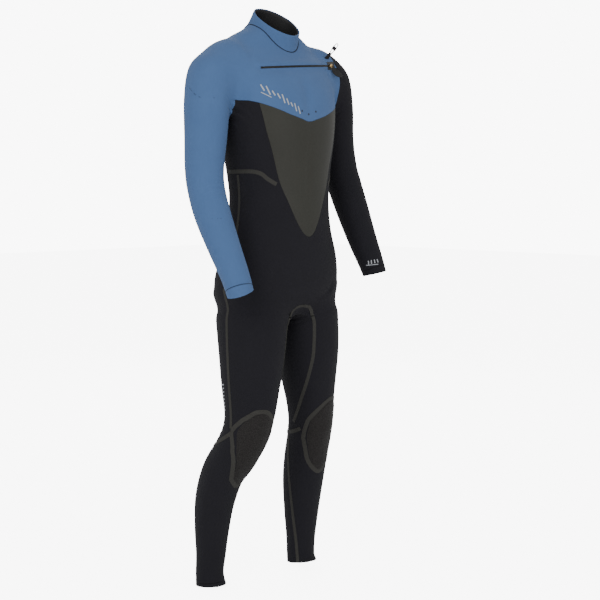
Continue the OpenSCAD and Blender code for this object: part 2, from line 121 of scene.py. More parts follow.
L_LEG = [
    (84, 6, 800, 84, 104, 104), (92, 0, 740, 83, 96, 92), (102, -2, 670, 79, 86, 80),
    (111, 0, 600, 71, 74, 72), (121, 4, 530, 61, 63, 62), (128, 10, 480, 57, 57, 57),
    (133, 20, 430, 55, 55, 58), (136, 32, 370, 54, 54, 60), (139, 44, 300, 51, 50, 56),
    (141, 52, 230, 46, 44, 48), (142, 56, 160, 39, 38, 40), (142, 56, 110, 37, 36, 38),
    (142, 54, 92, 38, 42, 38)]
# the zip's arc: radius, centre and height
ZIP_R, ZIP_CY, ZIP_H = 430.0, 361.0, 1375.0


def spline(tab, u):
    """Catmull-Rom through the rows of tab at parameters u"""
    tab = np.asarray(tab, float)
    m = len(tab) - 1
    u = np.asarray(u, float)
    i = np.clip(np.floor(u).astype(int), 0, m - 1)
    t = (u - i)[..., None]
    a, b, c, d = tab[np.maximum(i - 1, 0)], tab[i], tab[i + 1], tab[np.minimum(i + 2, m)]
    return 0.5 * (2 * b + (c - a) * t + (2 * a - 5 * b + 4 * c - d) * t ** 2
                  + (3 * b - a - 3 * c + d) * t ** 3)


def smooth(e0, e1, x):
    t = np.clip((x - e0) / (e1 - e0), 0, 1)
    return t * t * (3 - 2 * t)


CHUNK = 60000                # points looked up at a time


class Limb:
    """an oval tube along a curved centre line"""

    def __init__(self, tab, tail=16.0, per=24, root=0.0):
        tab = [list(r) for r in tab]
        last, prev = np.array(tab[-1], float), np.array(tab[-2], float)
        step = last - prev
        self.n_true = len(tab) - 1
        tab.append(list(last + step * tail / np.linalg.norm(step[:3])))
        self.tab = np.array(tab, float)
        # the true end keeps its section: drop the tail row from the curve's shape
        u = np.arange(0, self.n_true + 1e-9, 1.0 / per)
        rows = spline(self.tab[:-1], u)
        extra = np.linspace(0, 1, 8)[1:, None]
        rows = np.vstack([rows, rows[-1] + (self.tab[-1] - rows[-1]) * extra])
        self.u = np.concatenate([u, self.n_true + extra[:, 0]])
        c = rows[:, :3]
        d = np.gradient(c, axis=0)
        d /= np.linalg.norm(d, axis=1)[:, None]
        side = np.array([1.0, 0, 0]) - d * d[:, :1]
        side /= np.linalg.norm(side, axis=1)[:, None]
        front = np.cross(side, d)
        front *= np.where(front[:, 1:2] > 0, -1, 1)
        if root > 0.3:           # an arm leaves the trunk sideways: its front is steadier than its side
            front = np.array([0, -1.0, 0]) + d * d[:, 1:2]
            front /= np.linalg.norm(front, axis=1)[:, None]
            side = np.cross(d, front)
            side *= np.sign(side[-1, 0])
        # the root shrinks into the trunk
        ease = (1 - root) + root * smooth(0, 0.85, self.u)
        self.c, self.d, self.side, self.front, self.size = c, d, side, front, rows[:, 3:6] * ease[:, None]
        pad = 95
        self.lo = (c - pad).min(0)
        self.hi = (c + pad).max(0)

    def local(self, p):
        """index, fraction, lateral, depth, half sizes for points p"""
        n = len(p)
        idx = np.zeros(n, int)
        line = self.c.astype(np.float32)
        square = (self.c ** 2).sum(1).astype(np.float32)
        for s in range(0, n, CHUNK):
            q = p[s:s + CHUNK].astype(np.float32)
            d2 = (q ** 2).sum(1)[:, None] - 2 * q @ line.T + square[None]
            idx[s:s + CHUNK] = d2.argmin(1)
        m = len(self.c) - 1
        t = ((p - self.c[idx]) * self.d[idx]).sum(1)
        j = np.clip(idx + np.where(t > 0, 1, -1), 0, m)
        gap = np.linalg.norm(self.c[j] - self.c[idx], axis=1) + 1e-9
        f = np.clip(np.abs(t) / gap, 0, 1)[:, None]
        mix = lambda arr: arr[idx] * (1 - f) + arr[j] * f
        q = p - mix(self.c)
        x = (q * mix(self.side)).sum(1)
        y = (q * mix(self.front)).sum(1)
        over = (q * mix(self.d)).sum(1)
        return idx, f[:, 0], j, x, y, mix(self.size), over

    def along(self, p):
        idx, f, j, *_ = self.local(p)
        return self.u[idx] * (1 - f) + self.u[j] * f

    def field(self, p):
        out = np.full(len(p), 120.0)
        near = np.all((p > self.lo) & (p < self.hi), axis=1)
        if near.any():
            q = p[near]
            idx, _, _, x, y, size, over = self.local(q)
            b = np.where(y > 0, size[:, 1], size[:, 2])
            rho = np.sqrt((x / size[:, 0]) ** 2 + (y / b) ** 2) + 1e-6
            r = np.hypot(x, y)
            val = r * (1 - 1 / rho)
            end = np.where((idx == 0) | (idx == len(self.c) - 1), np.abs(over) - 2.0, -1e3)
            out[near] = np.maximum(val, end)
        return out


LIMBS = {"right_arm": Limb(R_ARM, root=0.45), "left_arm": Limb(L_ARM, root=0.45),
         "right_leg": Limb(R_LEG, root=0.16), "left_leg": Limb(L_LEG, root=0.16)}
TRUNK_ROWS = spline(TRUNK, np.arange(0, 15.001, 0.05))


def trunk_field(p):
    h = p[:, 2]
    hc = np.clip(h, TRUNK_ROWS[0, 0], TRUNK_ROWS[-1, 0])
    yc, a, bf, bb, n = (np.interp(hc, TRUNK_ROWS[:, 0], TRUNK_ROWS[:, k]) for k in range(1, 6))
    x, y = np.abs(p[:, 0]), p[:, 1] - yc
    b = np.where(y < 0, bf, bb)
    rho = ((x / a) ** n + (np.abs(y) / b) ** n) ** (1 / n) + 1e-6
    r = np.hypot(x, y)
    f = r * (1 - 1 / rho)
    return np.maximum(f, np.maximum(h - TRUNK_ROWS[-1, 0], TRUNK_ROWS[0, 0] - h))


def smin(a, b, k):
    h = np.maximum(k - np.abs(a - b), 0) / k
    return np.minimum(a, b) - h * h * k * 0.25


def gauss(p, c, s):
    return np.exp(-(((p - np.asarray(c, float)) / np.asarray(s, float)) ** 2).sum(1))


# soft relief: centre, spread, height (mm, + is outward)
RELIEF = [
    ((-72, -85, 1300), (52, 40, 34), 5.0), ((72, -85, 1300), (52, 40, 34), 5.0),       # chest
    ((0, -100, 1295), (15, 30, 60), -3.0),                                            # breastbone
    ((-70, 125, 1330), (48, 45, 60), 5.0), ((70, 125, 1330), (48, 45, 60), 5.0),        # shoulder blades
    ((0, 120, 1250), (16, 45, 160), -6.0), ((0, 100, 1010), (20, 40, 60), -5.0),         # spine
    ((-72, 112, 838), (56, 50, 52), 11.0), ((72, 112, 838), (56, 50, 52), 11.0),         # seat
    ((0, 130, 815), (11, 60, 60), -9.0),
    ((-225, 20, 1300), (30, 60, 55), 3.0), ((225, 12, 1300), (30, 60, 55), 2.0),         # shoulder caps
    ((-205, 28, 1405), (46, 60, 26), -9.0), ((200, 18, 1405), (44, 60, 26), -6.0),
          # slope of the shoulders
    ((-100, 40, 1446), (34, 36, 24), 9.0), ((100, 36, 1446), (34, 36, 24), 5.0),
    ((-128, -64, 462), (34, 24, 34), 4.0), ((128, -50, 462), (34, 24, 34), 4.0),         # kneecaps
    ((-140, 140, 330), (40, 34, 62), 4.0), ((138, 105, 335), (40, 34, 62), 4.0),         # calves
    ((-165, -58, 1290), (10, 26, 30), -4.0), ((160, -60, 1290), (10, 26, 30), -4.0),     # front armpit folds
    ((0, -118, 1120), (11, 40, 90), -1.5),
]
# shallow folds: a point, direction across the fold, direction along it, half-length, pitch, height
FOLDS = [
    ((-150, -75, 556), (0.25, 0.0, 0.97), (0.9, -0.3, -0.25), 44, 17, 1.1, 3),
    ((-118, 48, 470), (0.0, 0.1, 1.0), (1, 0, 0), 46, 15, 1.3, 4),
    ((132, 74, 450), (0.0, 0.1, 1.0), (1, 0, 0), 42, 15, 1.1, 3),
    ((-236, -40, 1076), (0.0, 0.2, 1.0), (1, 0, 0), 34, 13, 0.9, 3),
    ((243, -50, 1070), (0.0, 0.2, 1.0), (1, 0, 0), 34, 13, 0.9, 3),
    ((-172, -38, 1262), (0.75, 0.0, 0.66), (0.6, -0.2, -0.7), 30, 13, 1.3, 3),
    ((168, -44, 1262), (-0.75, 0.0, 0.66), (-0.6, -0.2, -0.7), 30, 13, 1.3, 3),
    ((-30, -85, 760), (0.5, 0.0, 0.86), (0.8, 0, -0.5), 34, 14, 1.1, 3),
    ((32, -85, 760), (-0.5, 0.0, 0.86), (-0.8, 0, -0.5), 34, 14, 1.1, 3),
]


TILT = math.radians(4.7)     # slope of the zip, rising to the wearer's left
COS, SIN = math.cos(TILT), math.sin(TILT)


def zip_local(p):
    x, h = p[..., 0], p[..., 2] - ZIP_H
    return np.stack([x * COS + h * SIN, p[..., 1], h * COS - x * SIN], -1)


def from_zip(q):
    x, h = q[..., 0], q[..., 2]
    return np.stack([x * COS - h * SIN, q[..., 1], ZIP_H + x * SIN + h * COS], -1)


def body_field(p):
    t = trunk_field(p)
    h = p[:, 2]
    ra, la = LIMBS["right_arm"].field(p), LIMBS["left_arm"].field(p)
    rl, ll = LIMBS["right_leg"].field(p), LIMBS["left_leg"].field(p)
    k_arm = 2 + 34 * smooth(1225, 1300, h)
    f = smin(smin(t, ra, k_arm), la, k_arm)
    legs = smin(rl, ll, 2 + 20 * smooth(690, 760, h))
    f = smin(f, legs, 2 + 40 * smooth(690, 790, h))
    return f


def field(p):
    p = np.asarray(p, float)
    f = body_field(p)
    near = np.abs(f) < 30
    q = p[near]
    add = np.zeros(len(q))
    for c, s, a in RELIEF:
        add += a * gauss(q, c, s)
    for c, across, along, half, pitch, a, n in FOLDS:
        v = q - np.asarray(c, float)
        across = np.array(across) / np.linalg.norm(across)
        along = np.array(along) / np.linalg.norm(along)
        s, l = v @ across, v @ along
        w = np.exp(-(l / half) ** 2 - (s / (pitch * n * 0.5)) ** 2 - (np.abs(v).max(1) / 75) ** 4)
        add += a * w * np.cos(2 * np.pi * (s + 0.004 * l * l) / pitch)
    # the chest follows the zip's arc beside the zip
    z = zip_local(q)
    ang = np.degrees(np.arctan2(z[:, 0], ZIP_CY - z[:, 1]))
    w = smooth(-17.5, -15.5, ang) * (1 - smooth(20.9, 22.6, ang))
    w = np.exp(-(z[:, 2] / 13.0) ** 2) * w * (q[:, 1] < 30)
    arc = np.hypot(z[:, 0], z[:, 1] - ZIP_CY) - ZIP_R - 1.4
    f[near] = (f[near] - add) * (1 - w) + arc * w
    return f


def gradient(p, e=1.0):
    g = np.stack([field(p + d) - field(p - d) for d in np.eye(3) * e], 1)
    n = np.linalg.norm(g, axis=1)[:, None]
    return g / (2 * e), g / np.maximum(n, 1e-9)


def to_surface(p, level=0.0, steps=3):
    p = np.array(p, float)
    for _ in range(steps):
        g, _ = gradient(p)
        gg = np.maximum((g * g).sum(1), 0.15)
        move = (field(p) - level) / gg
        p -= g * np.clip(move, -12, 12)[:, None]
    return p


# ------------------------------------------------------------------ surface nets
def surface_net(step):
    lo, hi = np.array([-300.0, -170.0, 52.0]), np.array([312.0, 178.0, 1492.0])
    n = np.ceil((hi - lo) / step).astype(int) + 1
    xs, ys, zs = (lo[k] + step * np.arange(n[k]) for k in range(3))
    # a coarse pass finds the blocks near the surface
    V = np.full(n, 60.0, np.float32)
    B = 8
    cx, cy, cz = (np.arange(0, n[k], B) for k in range(3))
    C = np.stack(np.meshgrid(xs[cx] + step * B / 2, ys[cy] + step * B / 2, zs[cz] + step * B / 2,
                             indexing="ij"), -1)
    F = body_field(C.reshape(-1, 3)).reshape(C.shape[:3])
    V_inside = F < 0
    reach = step * B * 0.87 + 22
    for i, j, k in zip(*np.nonzero(np.abs(F) >= reach)):
        if V_inside[i, j, k]:
            V[cx[i]:cx[i] + B, cy[j]:cy[j] + B, cz[k]:cz[k] + B] = -60
    blocks = np.argwhere(np.abs(F) < reach)
    off = np.stack(np.meshgrid(range(B), range(B), range(B), indexing="ij"), -1).reshape(-1, 3)
    for s in range(0, len(blocks), 200):
        ids = (blocks[s:s + 200, None, :] * B + off[None]).reshape(-1, 3)
        ids = ids[np.all(ids < n, axis=1)]
        V[ids[:, 0], ids[:, 1], ids[:, 2]] = field(lo + ids * step)
    S = V < 0
    cells_per = np.array([1, n[0], n[0] * n[1]])
    flat = lambda a: (a * cells_per).sum(-1)
    ids, pos, quads = [], [], []
    for ax in range(3):
        sl0 = [slice(None)] * 3
        sl1 = [slice(None)] * 3
        sl0[ax] = slice(0, -1)
        sl1[ax] = slice(1, None)
        a, b = S[tuple(sl0)], S[tuple(sl1)]
        e = np.argwhere(a != b)
        e1 = e.copy()
        e1[:, ax] += 1
        va, vb = V[tuple(e.T)], V[tuple(e1.T)]
        t = va / (va - vb)
        x = lo + e * step
        x[:, ax] += t * step
        u, w = (ax + 1) % 3, (ax + 2) % 3
        ring = []
        for du, dw in ((0, 0), (-1, 0), (-1, -1), (0, -1)):
            c = e.copy()
            c[:, u] += du
            c[:, w] += dw
            ring.append(flat(c))
            ids.append(flat(c))
            pos.append(x)
        q = np.stack(ring, 1)
        flip = ~a[tuple(e.T)]
        q[flip] = q[flip][:, ::-1]
        quads.append(q)
    ids, pos, quads = np.concatenate(ids), np.concatenate(pos), np.concatenate(quads)
    uniq, inv = np.unique(ids, return_inverse=True)
    verts = np.zeros((len(uniq), 3))
    cnt = np.bincount(inv, minlength=len(uniq))
    for k in range(3):
        verts[:, k] = np.bincount(inv, pos[:, k], minlength=len(uniq)) / cnt
    return verts, np.searchsorted(uniq, quads)


class Mesh:
    """triangles with a normal and a seam distance at each vertex"""

    def __init__(self, v, t, n=None, seam=None):
        self.v, self.t = np.asarray(v, float), np.asarray(t, int)
        self.n = n
        self.seam = np.full(len(self.v), NO_SEAM) if seam is None else seam

    def cut(self, f, where=None, seam=False):
        """splits the triangles along f = 0; with seam, notes the distance to the line"""
        v, t, n, sm = self.v, self.t, self.n, self.seam
        f = f.copy()
        act = np.ones(len(t), bool) if where is None else where[t].all(1)
        f[np.abs(f) < 1e-6] = 1e-6
        e = np.sort(np.concatenate([t[act][:, [0, 1]], t[act][:, [1, 2]], t[act][:, [2, 0]]]), axis=1)
        e = np.unique(e, axis=0)
        e = e[(f[e[:, 0]] > 0) != (f[e[:, 1]] > 0)]
        if len(e) == 0:
            return f
        w = f[e[:, 0]] / (f[e[:, 0]] - f[e[:, 1]])
        w = np.clip(w, 0.02, 0.98)[:, None]
        nv = v[e[:, 0]] * (1 - w) + v[e[:, 1]] * w
        nn = n[e[:, 0]] * (1 - w) + n[e[:, 1]] * w
        nn /= np.linalg.norm(nn, axis=1)[:, None]
        ns = sm[e[:, 0]] * (1 - w[:, 0]) + sm[e[:, 1]] * w[:, 0]
        base = len(v)
        key = e[:, 0].astype(np.int64) * (1 << 32) + e[:, 1]
        order = np.argsort(key)
        key = key[order]
        fnew = np.concatenate([f, np.zeros(len(e))])

        def mid(a, b):
            k = np.minimum(a, b).astype(np.int64) * (1 << 32) + np.maximum(a, b)
            return base + order[np.searchsorted(key, k)]

        pos = f[t] > 0
        cnt = pos.sum(1)
        split = act & (cnt > 0) & (cnt < 3)
        keep = t[~split]
        ts, ps, cs = t[split], pos[split], cnt[split]
        lone = np.where(cs == 1, ps.argmax(1), (~ps).argmax(1))
        r = np.arange(len(ts))
        a, b, c = ts[r, lone], ts[r, (lone + 1) % 3], ts[r, (lone + 2) % 3]
        ab, ac = mid(a, b), mid(a, c)
        new = np.concatenate([np.stack([a, ab, ac], 1), np.stack([ab, b, c], 1), np.stack([ab, c, ac], 1)])
        self.v = np.vstack([v, nv])
        self.n = np.vstack([n, nn])
        self.t = np.vstack([keep, new])
        self.seam = np.concatenate([sm, ns])
        if seam:
            self.seam = np.minimum(self.seam, np.abs(fnew))
        return fnew

    def centres(self):
        return self.v[self.t].mean(1)

    def part(self, mask):
        t = self.t[mask]
        used, inv = np.unique(t, return_inverse=True)
        return Mesh(self.v[used], inv.reshape(-1, 3), self.n[used], self.seam[used])


def poly_distance(x, y, pts):
    """signed distance to a closed outline, + inside"""
    pts = np.asarray(pts, float)
    best = np.full(len(x), 1e9)
    inside = np.zeros(len(x), bool)
    for (x0, y0), (x1, y1) in zip(pts, np.roll(pts, -1, 0)):
        dx, dy = x1 - x0, y1 - y0
        t = np.clip(((x - x0) * dx + (y - y0) * dy) / (dx * dx + dy * dy + 1e-12), 0, 1)
        best = np.minimum(best, np.hypot(x - x0 - t * dx, y - y0 - t * dy))
        cross = ((y0 > y) != (y1 > y)) & (x < (x1 - x0) * (y - y0) / (y1 - y0 + 1e-12) + x0)
        inside ^= cross
    return np.where(inside, best, -best)


def rounded(pts, per=8, closed=False):
    """Catmull-Rom through 2-D or 3-D points"""
    p = np.asarray(pts, float)
    if closed:
        p = np.vstack([p[-1], p, p[0], p[1]])
        u = np.arange(1, len(p) - 2, 1.0 / per)
    else:
        u = np.append(np.arange(0, len(p) - 1, 1.0 / per), len(p) - 1)
    return spline(p, u)


# ------------------------------------------------------------------ materials
def nodes_of(name, base, rough=0.8, metal=0.0, spec=0.35):
    m = bpy.data.materials.new(name)
    m.use_nodes = True
    nt = m.node_tree
    sh = nt.nodes["Principled BSDF"]
    sh.inputs["Base Color"].default_value = (*base, 1)
    sh.inputs["Roughness"].default_value = rough
    sh.inputs["Metallic"].default_value = metal
    sh.inputs["Specular IOR Level"].default_value = spec
    return m, nt, sh


def math_node(nt, op, a, b=None, c=None):
    n = nt.nodes.new("ShaderNodeMath")
    n.operation = op
    for i, x in enumerate((a, b, c)):
        if x is None:
            continue
        if isinstance(x, (int, float)):
            n.inputs[i].default_value = x
        else:
            nt.links.new(x, n.inputs[i])
    return n.outputs[0]


def mix_colour(nt, fac, a, b):
    n = nt.nodes.new("ShaderNodeMix")
    n.data_type = "RGBA"
    for sock, x in ((n.inputs[0], fac), (n.inputs[6], a), (n.inputs[7], b)):
        if isinstance(x, (int, float)):
            sock.default_value = x
        elif isinstance(x, tuple):
            sock.default_value = (*x, 1)
        else:
            nt.links.new(x, sock)
    return n.outputs[2]


def noise(nt, scale, detail=2.0, vec=None, rough=0.5):
    n = nt.nodes.new("ShaderNodeTexNoise")
    n.inputs["Scale"].default_value = scale
    n.inputs["Detail"].default_value = detail
    n.inputs["Roughness"].default_value = rough
    if vec is None:
        vec = nt.nodes.new("ShaderNodeTexCoord").outputs["Object"]
    nt.links.new(vec, n.inputs["Vector"])
    return n.outputs["Fac"]


def bump(nt, sh, height, strength, distance, after=None):
    n = nt.nodes.new("ShaderNodeBump")
    n.inputs["Strength"].default_value = strength
    n.inputs["Distance"].default_value = distance
    nt.links.new(height, n.inputs["Height"])
    if after is not None:
        nt.links.new(after, n.inputs["Normal"])
    nt.links.new(n.outputs["Normal"], sh.inputs["Normal"])
    return n.outputs["Normal"]


def jersey(name, base, dark, rough=0.86, sheen=0.25, weave=0.35):
    """stretch jersey: fine knit, soft mottling, and a bumped groove along the seams whose colour is darkened
    there as painted shade
    """
    m, nt, sh = nodes_of(name, base, rough, 0, 0.12)
    sh.inputs["Sheen Weight"].default_value = sheen
    sh.inputs["Sheen Roughness"].default_value = 0.5
    co = nt.nodes.new("ShaderNodeTexCoord").outputs["Object"]
    mott = noise(nt, 26, 4, co)
    fine = noise(nt, 1500, 2, co)
    sep = nt.nodes.new("ShaderNodeSeparateXYZ")
    nt.links.new(co, sep.inputs[0])
    around = math_node(nt, "ADD", sep.outputs["X"], math_node(nt, "MULTIPLY", sep.outputs["Y"], 0.83))
    courses = math_node(nt, "SINE", math_node(nt, "MULTIPLY", sep.outputs["Z"], 2 * math.pi / 0.0014))
    wales = math_node(nt, "SINE", math_node(nt, "MULTIPLY", around, 2 * math.pi / 0.0016))
    knit = math_node(nt, "MULTIPLY", courses, wales)
    col = mix_colour(nt, math_node(nt, "MULTIPLY", mott, 0.55), base, dark)
    col = mix_colour(nt, math_node(nt, "MULTIPLY", fine, 0.35), col, dark)
    att = nt.nodes.new("ShaderNodeAttribute")
    att.attribute_name = "seam"
    d = att.outputs["Fac"]
    line = nt.nodes.new("ShaderNodeMapRange")
    line.interpolation_type = "SMOOTHSTEP"
    nt.links.new(d, line.inputs["Value"])
    line.inputs["From Min"].default_value = 0.3
    line.inputs["From Max"].default_value = 1.3
    groove_and_shade = line.outputs["Result"]
    # painted shade in the seam groove: the colour darkens to 0.35 of the base within 0.3 mm of a seam and
    # eases back by 1.3 mm
    col = mix_colour(nt, groove_and_shade, tuple(c * 0.35 for c in base), col)
    nt.links.new(col, sh.inputs["Base Color"])
    n1 = bump(nt, sh, math_node(nt, "ADD", knit, math_node(nt, "MULTIPLY", fine, 1.2)), weave, 0.00025)
    n2 = bump(nt, sh, noise(nt, 60, 3, co), 0.12, 0.0012, n1)
    bump(nt, sh, groove_and_shade, 0.9, 0.0012, n2)
    return m


def make_materials():
    mats = {}
    mats["blue"] = jersey("blue_jersey", (0.046, 0.089, 0.188), (0.033, 0.068, 0.150), 0.88, 0.04)
    mats["black"] = jersey("black_jersey", (0.0072, 0.0069, 0.0094), (0.0046, 0.0044, 0.0062), 0.86, 0.012)
    m, nt, sh = nodes_of("smooth_skin", (0.015, 0.015, 0.012), 0.6, 0, 0.18)
    co = nt.nodes.new("ShaderNodeTexCoord").outputs["Object"]
    f = noise(nt, 900, 3, co)
    g = noise(nt, 18, 3, co)
    nt.links.new(mix_colour(nt, g, (0.0165, 0.0165, 0.0128), (0.0125, 0.0125, 0.0098)),
                 sh.inputs["Base Color"])
    nt.links.new(math_node(nt, "ADD", math_node(nt, "MULTIPLY", f, 0.25), 0.42), sh.inputs["Roughness"])
    bump(nt, sh, f, 0.25, 0.0003)
    mats["grey"] = m
    m, nt, sh = nodes_of("seam_tape", (0.018, 0.018, 0.016), 0.7, 0, 0.15)
    co = nt.nodes.new("ShaderNodeTexCoord").outputs["Object"]
    f = noise(nt, 700, 3, co)
    nt.links.new(mix_colour(nt, f, (0.0215, 0.0208, 0.0185), (0.0150, 0.0146, 0.0130)),
                 sh.inputs["Base Color"])
    bump(nt, sh, f, 0.3, 0.0003)
    mats["tape"] = m
    m, nt, sh = nodes_of("lining", (0.012, 0.012, 0.015), 0.6, 0, 0.35)
    f = noise(nt, 800, 3)
    nt.links.new(mix_colour(nt, f, (0.0068, 0.0066, 0.0076), (0.0045, 0.0044, 0.0050)),
                 sh.inputs["Base Color"])
    bump(nt, sh, f, 0.3, 0.0004)
    mats["lining"] = m
    m, nt, sh = nodes_of("knee_rubber", (0.010, 0.010, 0.010), 0.66, 0, 0.15)
    co = nt.nodes.new("ShaderNodeTexCoord").outputs["Object"]
    vor = nt.nodes.new("ShaderNodeTexVoronoi")
    vor.inputs["Scale"].default_value = 260
    vor.feature = "DISTANCE_TO_EDGE"
    nt.links.new(co, vor.inputs["Vector"])
    cell = math_node(nt, "MINIMUM", math_node(nt, "MULTIPLY", vor.outputs["Distance"], 6.0), 1.0)
    nt.links.new(mix_colour(nt, cell, (0.0042, 0.0036, 0.0034), (0.0105, 0.0092, 0.0088)),
                 sh.inputs["Base Color"])
    bump(nt, sh, cell, 0.7, 0.0007)
    mats["pad"] = m
    m, nt, sh = nodes_of("brass", (0.62, 0.42, 0.16), 0.32, 1.0, 0.5)
    f = noise(nt, 600, 3)
    nt.links.new(math_node(nt, "ADD", math_node(nt, "MULTIPLY", f, 0.3), 0.18), sh.inputs["Roughness"])
    nt.links.new(mix_colour(nt, f, (0.66, 0.45, 0.18), (0.42, 0.27, 0.10)), sh.inputs["Base Color"])
    mats["brass"] = m
    m, nt, sh = nodes_of("moulded_black", (0.005, 0.005, 0.0055), 0.5, 0, 0.22)
    f = noise(nt, 900, 2)
    nt.links.new(math_node(nt, "ADD", math_node(nt, "MULTIPLY", f, 0.2), 0.35), sh.inputs["Roughness"])
    nt.links.new(mix_colour(nt, f, (0.0062, 0.0060, 0.0064), (0.0036, 0.0036, 0.0040)),
                 sh.inputs["Base Color"])
    mats["plastic"] = m
    m, nt, sh = nodes_of("woven_cord", (0.006, 0.006, 0.007), 0.85, 0, 0.12)
    co = nt.nodes.new("ShaderNodeTexCoord").outputs["Object"]
    wave = nt.nodes.new("ShaderNodeTexWave")
    wave.inputs["Scale"].default_value = 420
    wave.bands_direction = "DIAGONAL"
    nt.links.new(co, wave.inputs["Vector"])
    nt.links.new(mix_colour(nt, wave.outputs["Fac"], (0.0045, 0.0045, 0.005), (0.012, 0.012, 0.0135)),
                 sh.inputs["Base Color"])
    bump(nt, sh, wave.outputs["Fac"], 0.5, 0.0003)
    mats["cord"] = m
    m, nt, sh = nodes_of("print", (0.42, 0.43, 0.45), 0.6, 0, 0.35)
    f = noise(nt, 1400, 2)
    nt.links.new(mix_colour(nt, f, (0.26, 0.27, 0.29), (0.19, 0.20, 0.215)), sh.inputs["Base Color"])
    bump(nt, sh, f, 0.2, 0.0002)
    mats["print"] = m
    m, nt, sh = nodes_of("floor", (0.86, 0.86, 0.86), 0.9, 0, 0.1)
    f = noise(nt, 4, 2)
    nt.links.new(mix_colour(nt, f, (0.87, 0.87, 0.87), (0.84, 0.84, 0.845)), sh.inputs["Base Color"])
    sh.inputs["Emission Color"].default_value = (1, 1, 1, 1)
    seen = nt.nodes.new("ShaderNodeLightPath").outputs["Is Camera Ray"]
    nt.links.new(math_node(nt, "MULTIPLY", seen, 7.0), sh.inputs["Emission Strength"])
    mats["floor"] = m
    return mats


MATS = make_materials()
SLOT = {"blue": "blue_neoprene", "black": "black_neoprene", "grey": "smooth_neoprene", "tape": "seam_tape",
        "lining": "collar_lining", "pad": "knee_pad", "brass": "slider_brass", "plastic": "pull_rubber",
        "cord": "cord", "print": "seam_tape"}


# ------------------------------------------------------------------ pieces
def link(name, me):
    o = bpy.data.objects.new(name, me)
    bpy.context.scene.collection.objects.link(o)
    return o


def plain_object(name, v, faces, mats, smooth_faces=True):
    me = bpy.data.meshes.new(name)
    me.from_pydata(M(v).tolist(), [], faces)
    for m in mats:
        me.materials.append(MATS[m])
    me.polygons.foreach_set("use_smooth", [smooth_faces] * len(faces))
    me.update()
    return link(name, me)


def new_object(name, v, faces, mats, slots=None, normals=None, seam=None):
    me = bpy.data.meshes.new(name)
    me.from_pydata(M(v).tolist(), [], [list(map(int, f)) for f in faces])
    for m in mats:
        me.materials.append(MATS[m])
    if slots is not None:
        me.polygons.foreach_set("material_index", np.asarray(slots, np.int32))
    me.polygons.foreach_set("use_smooth", np.ones(len(me.polygons), bool))
    if seam is not None:
        a = me.attributes.new("seam", "FLOAT", "POINT")
        a.data.foreach_set("value", np.asarray(seam, np.float32))
    me.update()
    if normals is not None:
        me.normals_split_custom_set_from_vertices(np.asarray(normals, float).tolist())
    return link(name, me)


def shell_object(name, mesh, wall, outer, inner="lining", raise_by=0.0):
    """outer face, inner face one wall deeper, and a rim round every open edge"""
    wall = np.broadcast_to(np.asarray(wall, float), len(mesh.v))[:, None]
    raised = np.broadcast_to(np.asarray(raise_by, float), len(mesh.v))[:, None]
    v, t, n = mesh.v + mesh.n * raised, mesh.t, mesh.n
    k = len(v)
    e = np.concatenate([t[:, [0, 1]], t[:, [1, 2]], t[:, [2, 0]]])
    key = np.sort(e, 1)
    key = key[:, 0].astype(np.int64) * (1 << 32) + key[:, 1]
    _, first, count = np.unique(key, return_index=True, return_counts=True)
    edge = e[first[count == 1]]
    vi = v - n * wall
    a, b = edge[:, 0], edge[:, 1]
    # the rim has its own vertices, so its edge stays crisp
    m = len(edge)
    rim_v = np.concatenate([v[a], v[b], vi[b], vi[a]])
    r = np.arange(m) + 2 * k
    rim_f = np.stack([r + m, r, r + 3 * m, r + 2 * m], 1)
    along = v[b] - v[a]
    rn = np.cross(along, n[a] + n[b])
    rn /= np.maximum(np.linalg.norm(rn, axis=1), 1e-9)[:, None]
    allv = np.concatenate([v, vi, rim_v])
    alln = np.concatenate([n, -n, rn, rn, rn, rn])
    faces = t.tolist() + (t[:, ::-1] + k).tolist() + rim_f.tolist()
    slots = [0] * len(t) + [1] * len(t) + [0] * m
    seam = np.concatenate([mesh.seam, np.full(len(allv) - k, NO_SEAM)])
    return new_object(name, allv, faces, [outer, inner], slots, alln, seam)


def centre_at(limb, u):
    L = LIMBS[limb]
    return np.array([np.interp(u, L.u, L.c[:, k]) for k in range(3)])


# bending zones: name -> (limb, body before, body after, start, end)
ZONES = {}
for s, sx in (("right", -1), ("left", 1)):
    arm, leg = s + "_arm", s + "_leg"
    d = np.array([0.75 * sx, 0, -0.66])
    d /= np.linalg.norm(d)
    p0 = np.array([165.0 * sx, 20, 1240])
    ZONES[s + "_shoulder"] = (arm, "torso", s + "_upper_arm", p0, p0 + d * 105)
    ZONES[s + "_elbow"] = (arm, s + "_upper_arm", s + "_forearm", centre_at(arm, 4.95), centre_at(arm, 7.0))
    d = np.array([0.5 * sx, 0, -0.866])
    p0 = np.array([4.0 * sx, 4, 752])
    ZONES[s + "_hip"] = (leg, "torso", s + "_thigh", p0, p0 + d * 130)
    ZONES[s + "_knee"] = (leg, s + "_thigh", s + "_shin", centre_at(leg, 4.0), centre_at(leg, 6.8))
ORDER = {"arm": ("shoulder", "elbow"), "leg": ("hip", "knee")}


def zone_value(zone, p):
    _, _, _, a, b = ZONES[zone]
    d = b - a
    return ((p - a) @ d) / (d @ d)


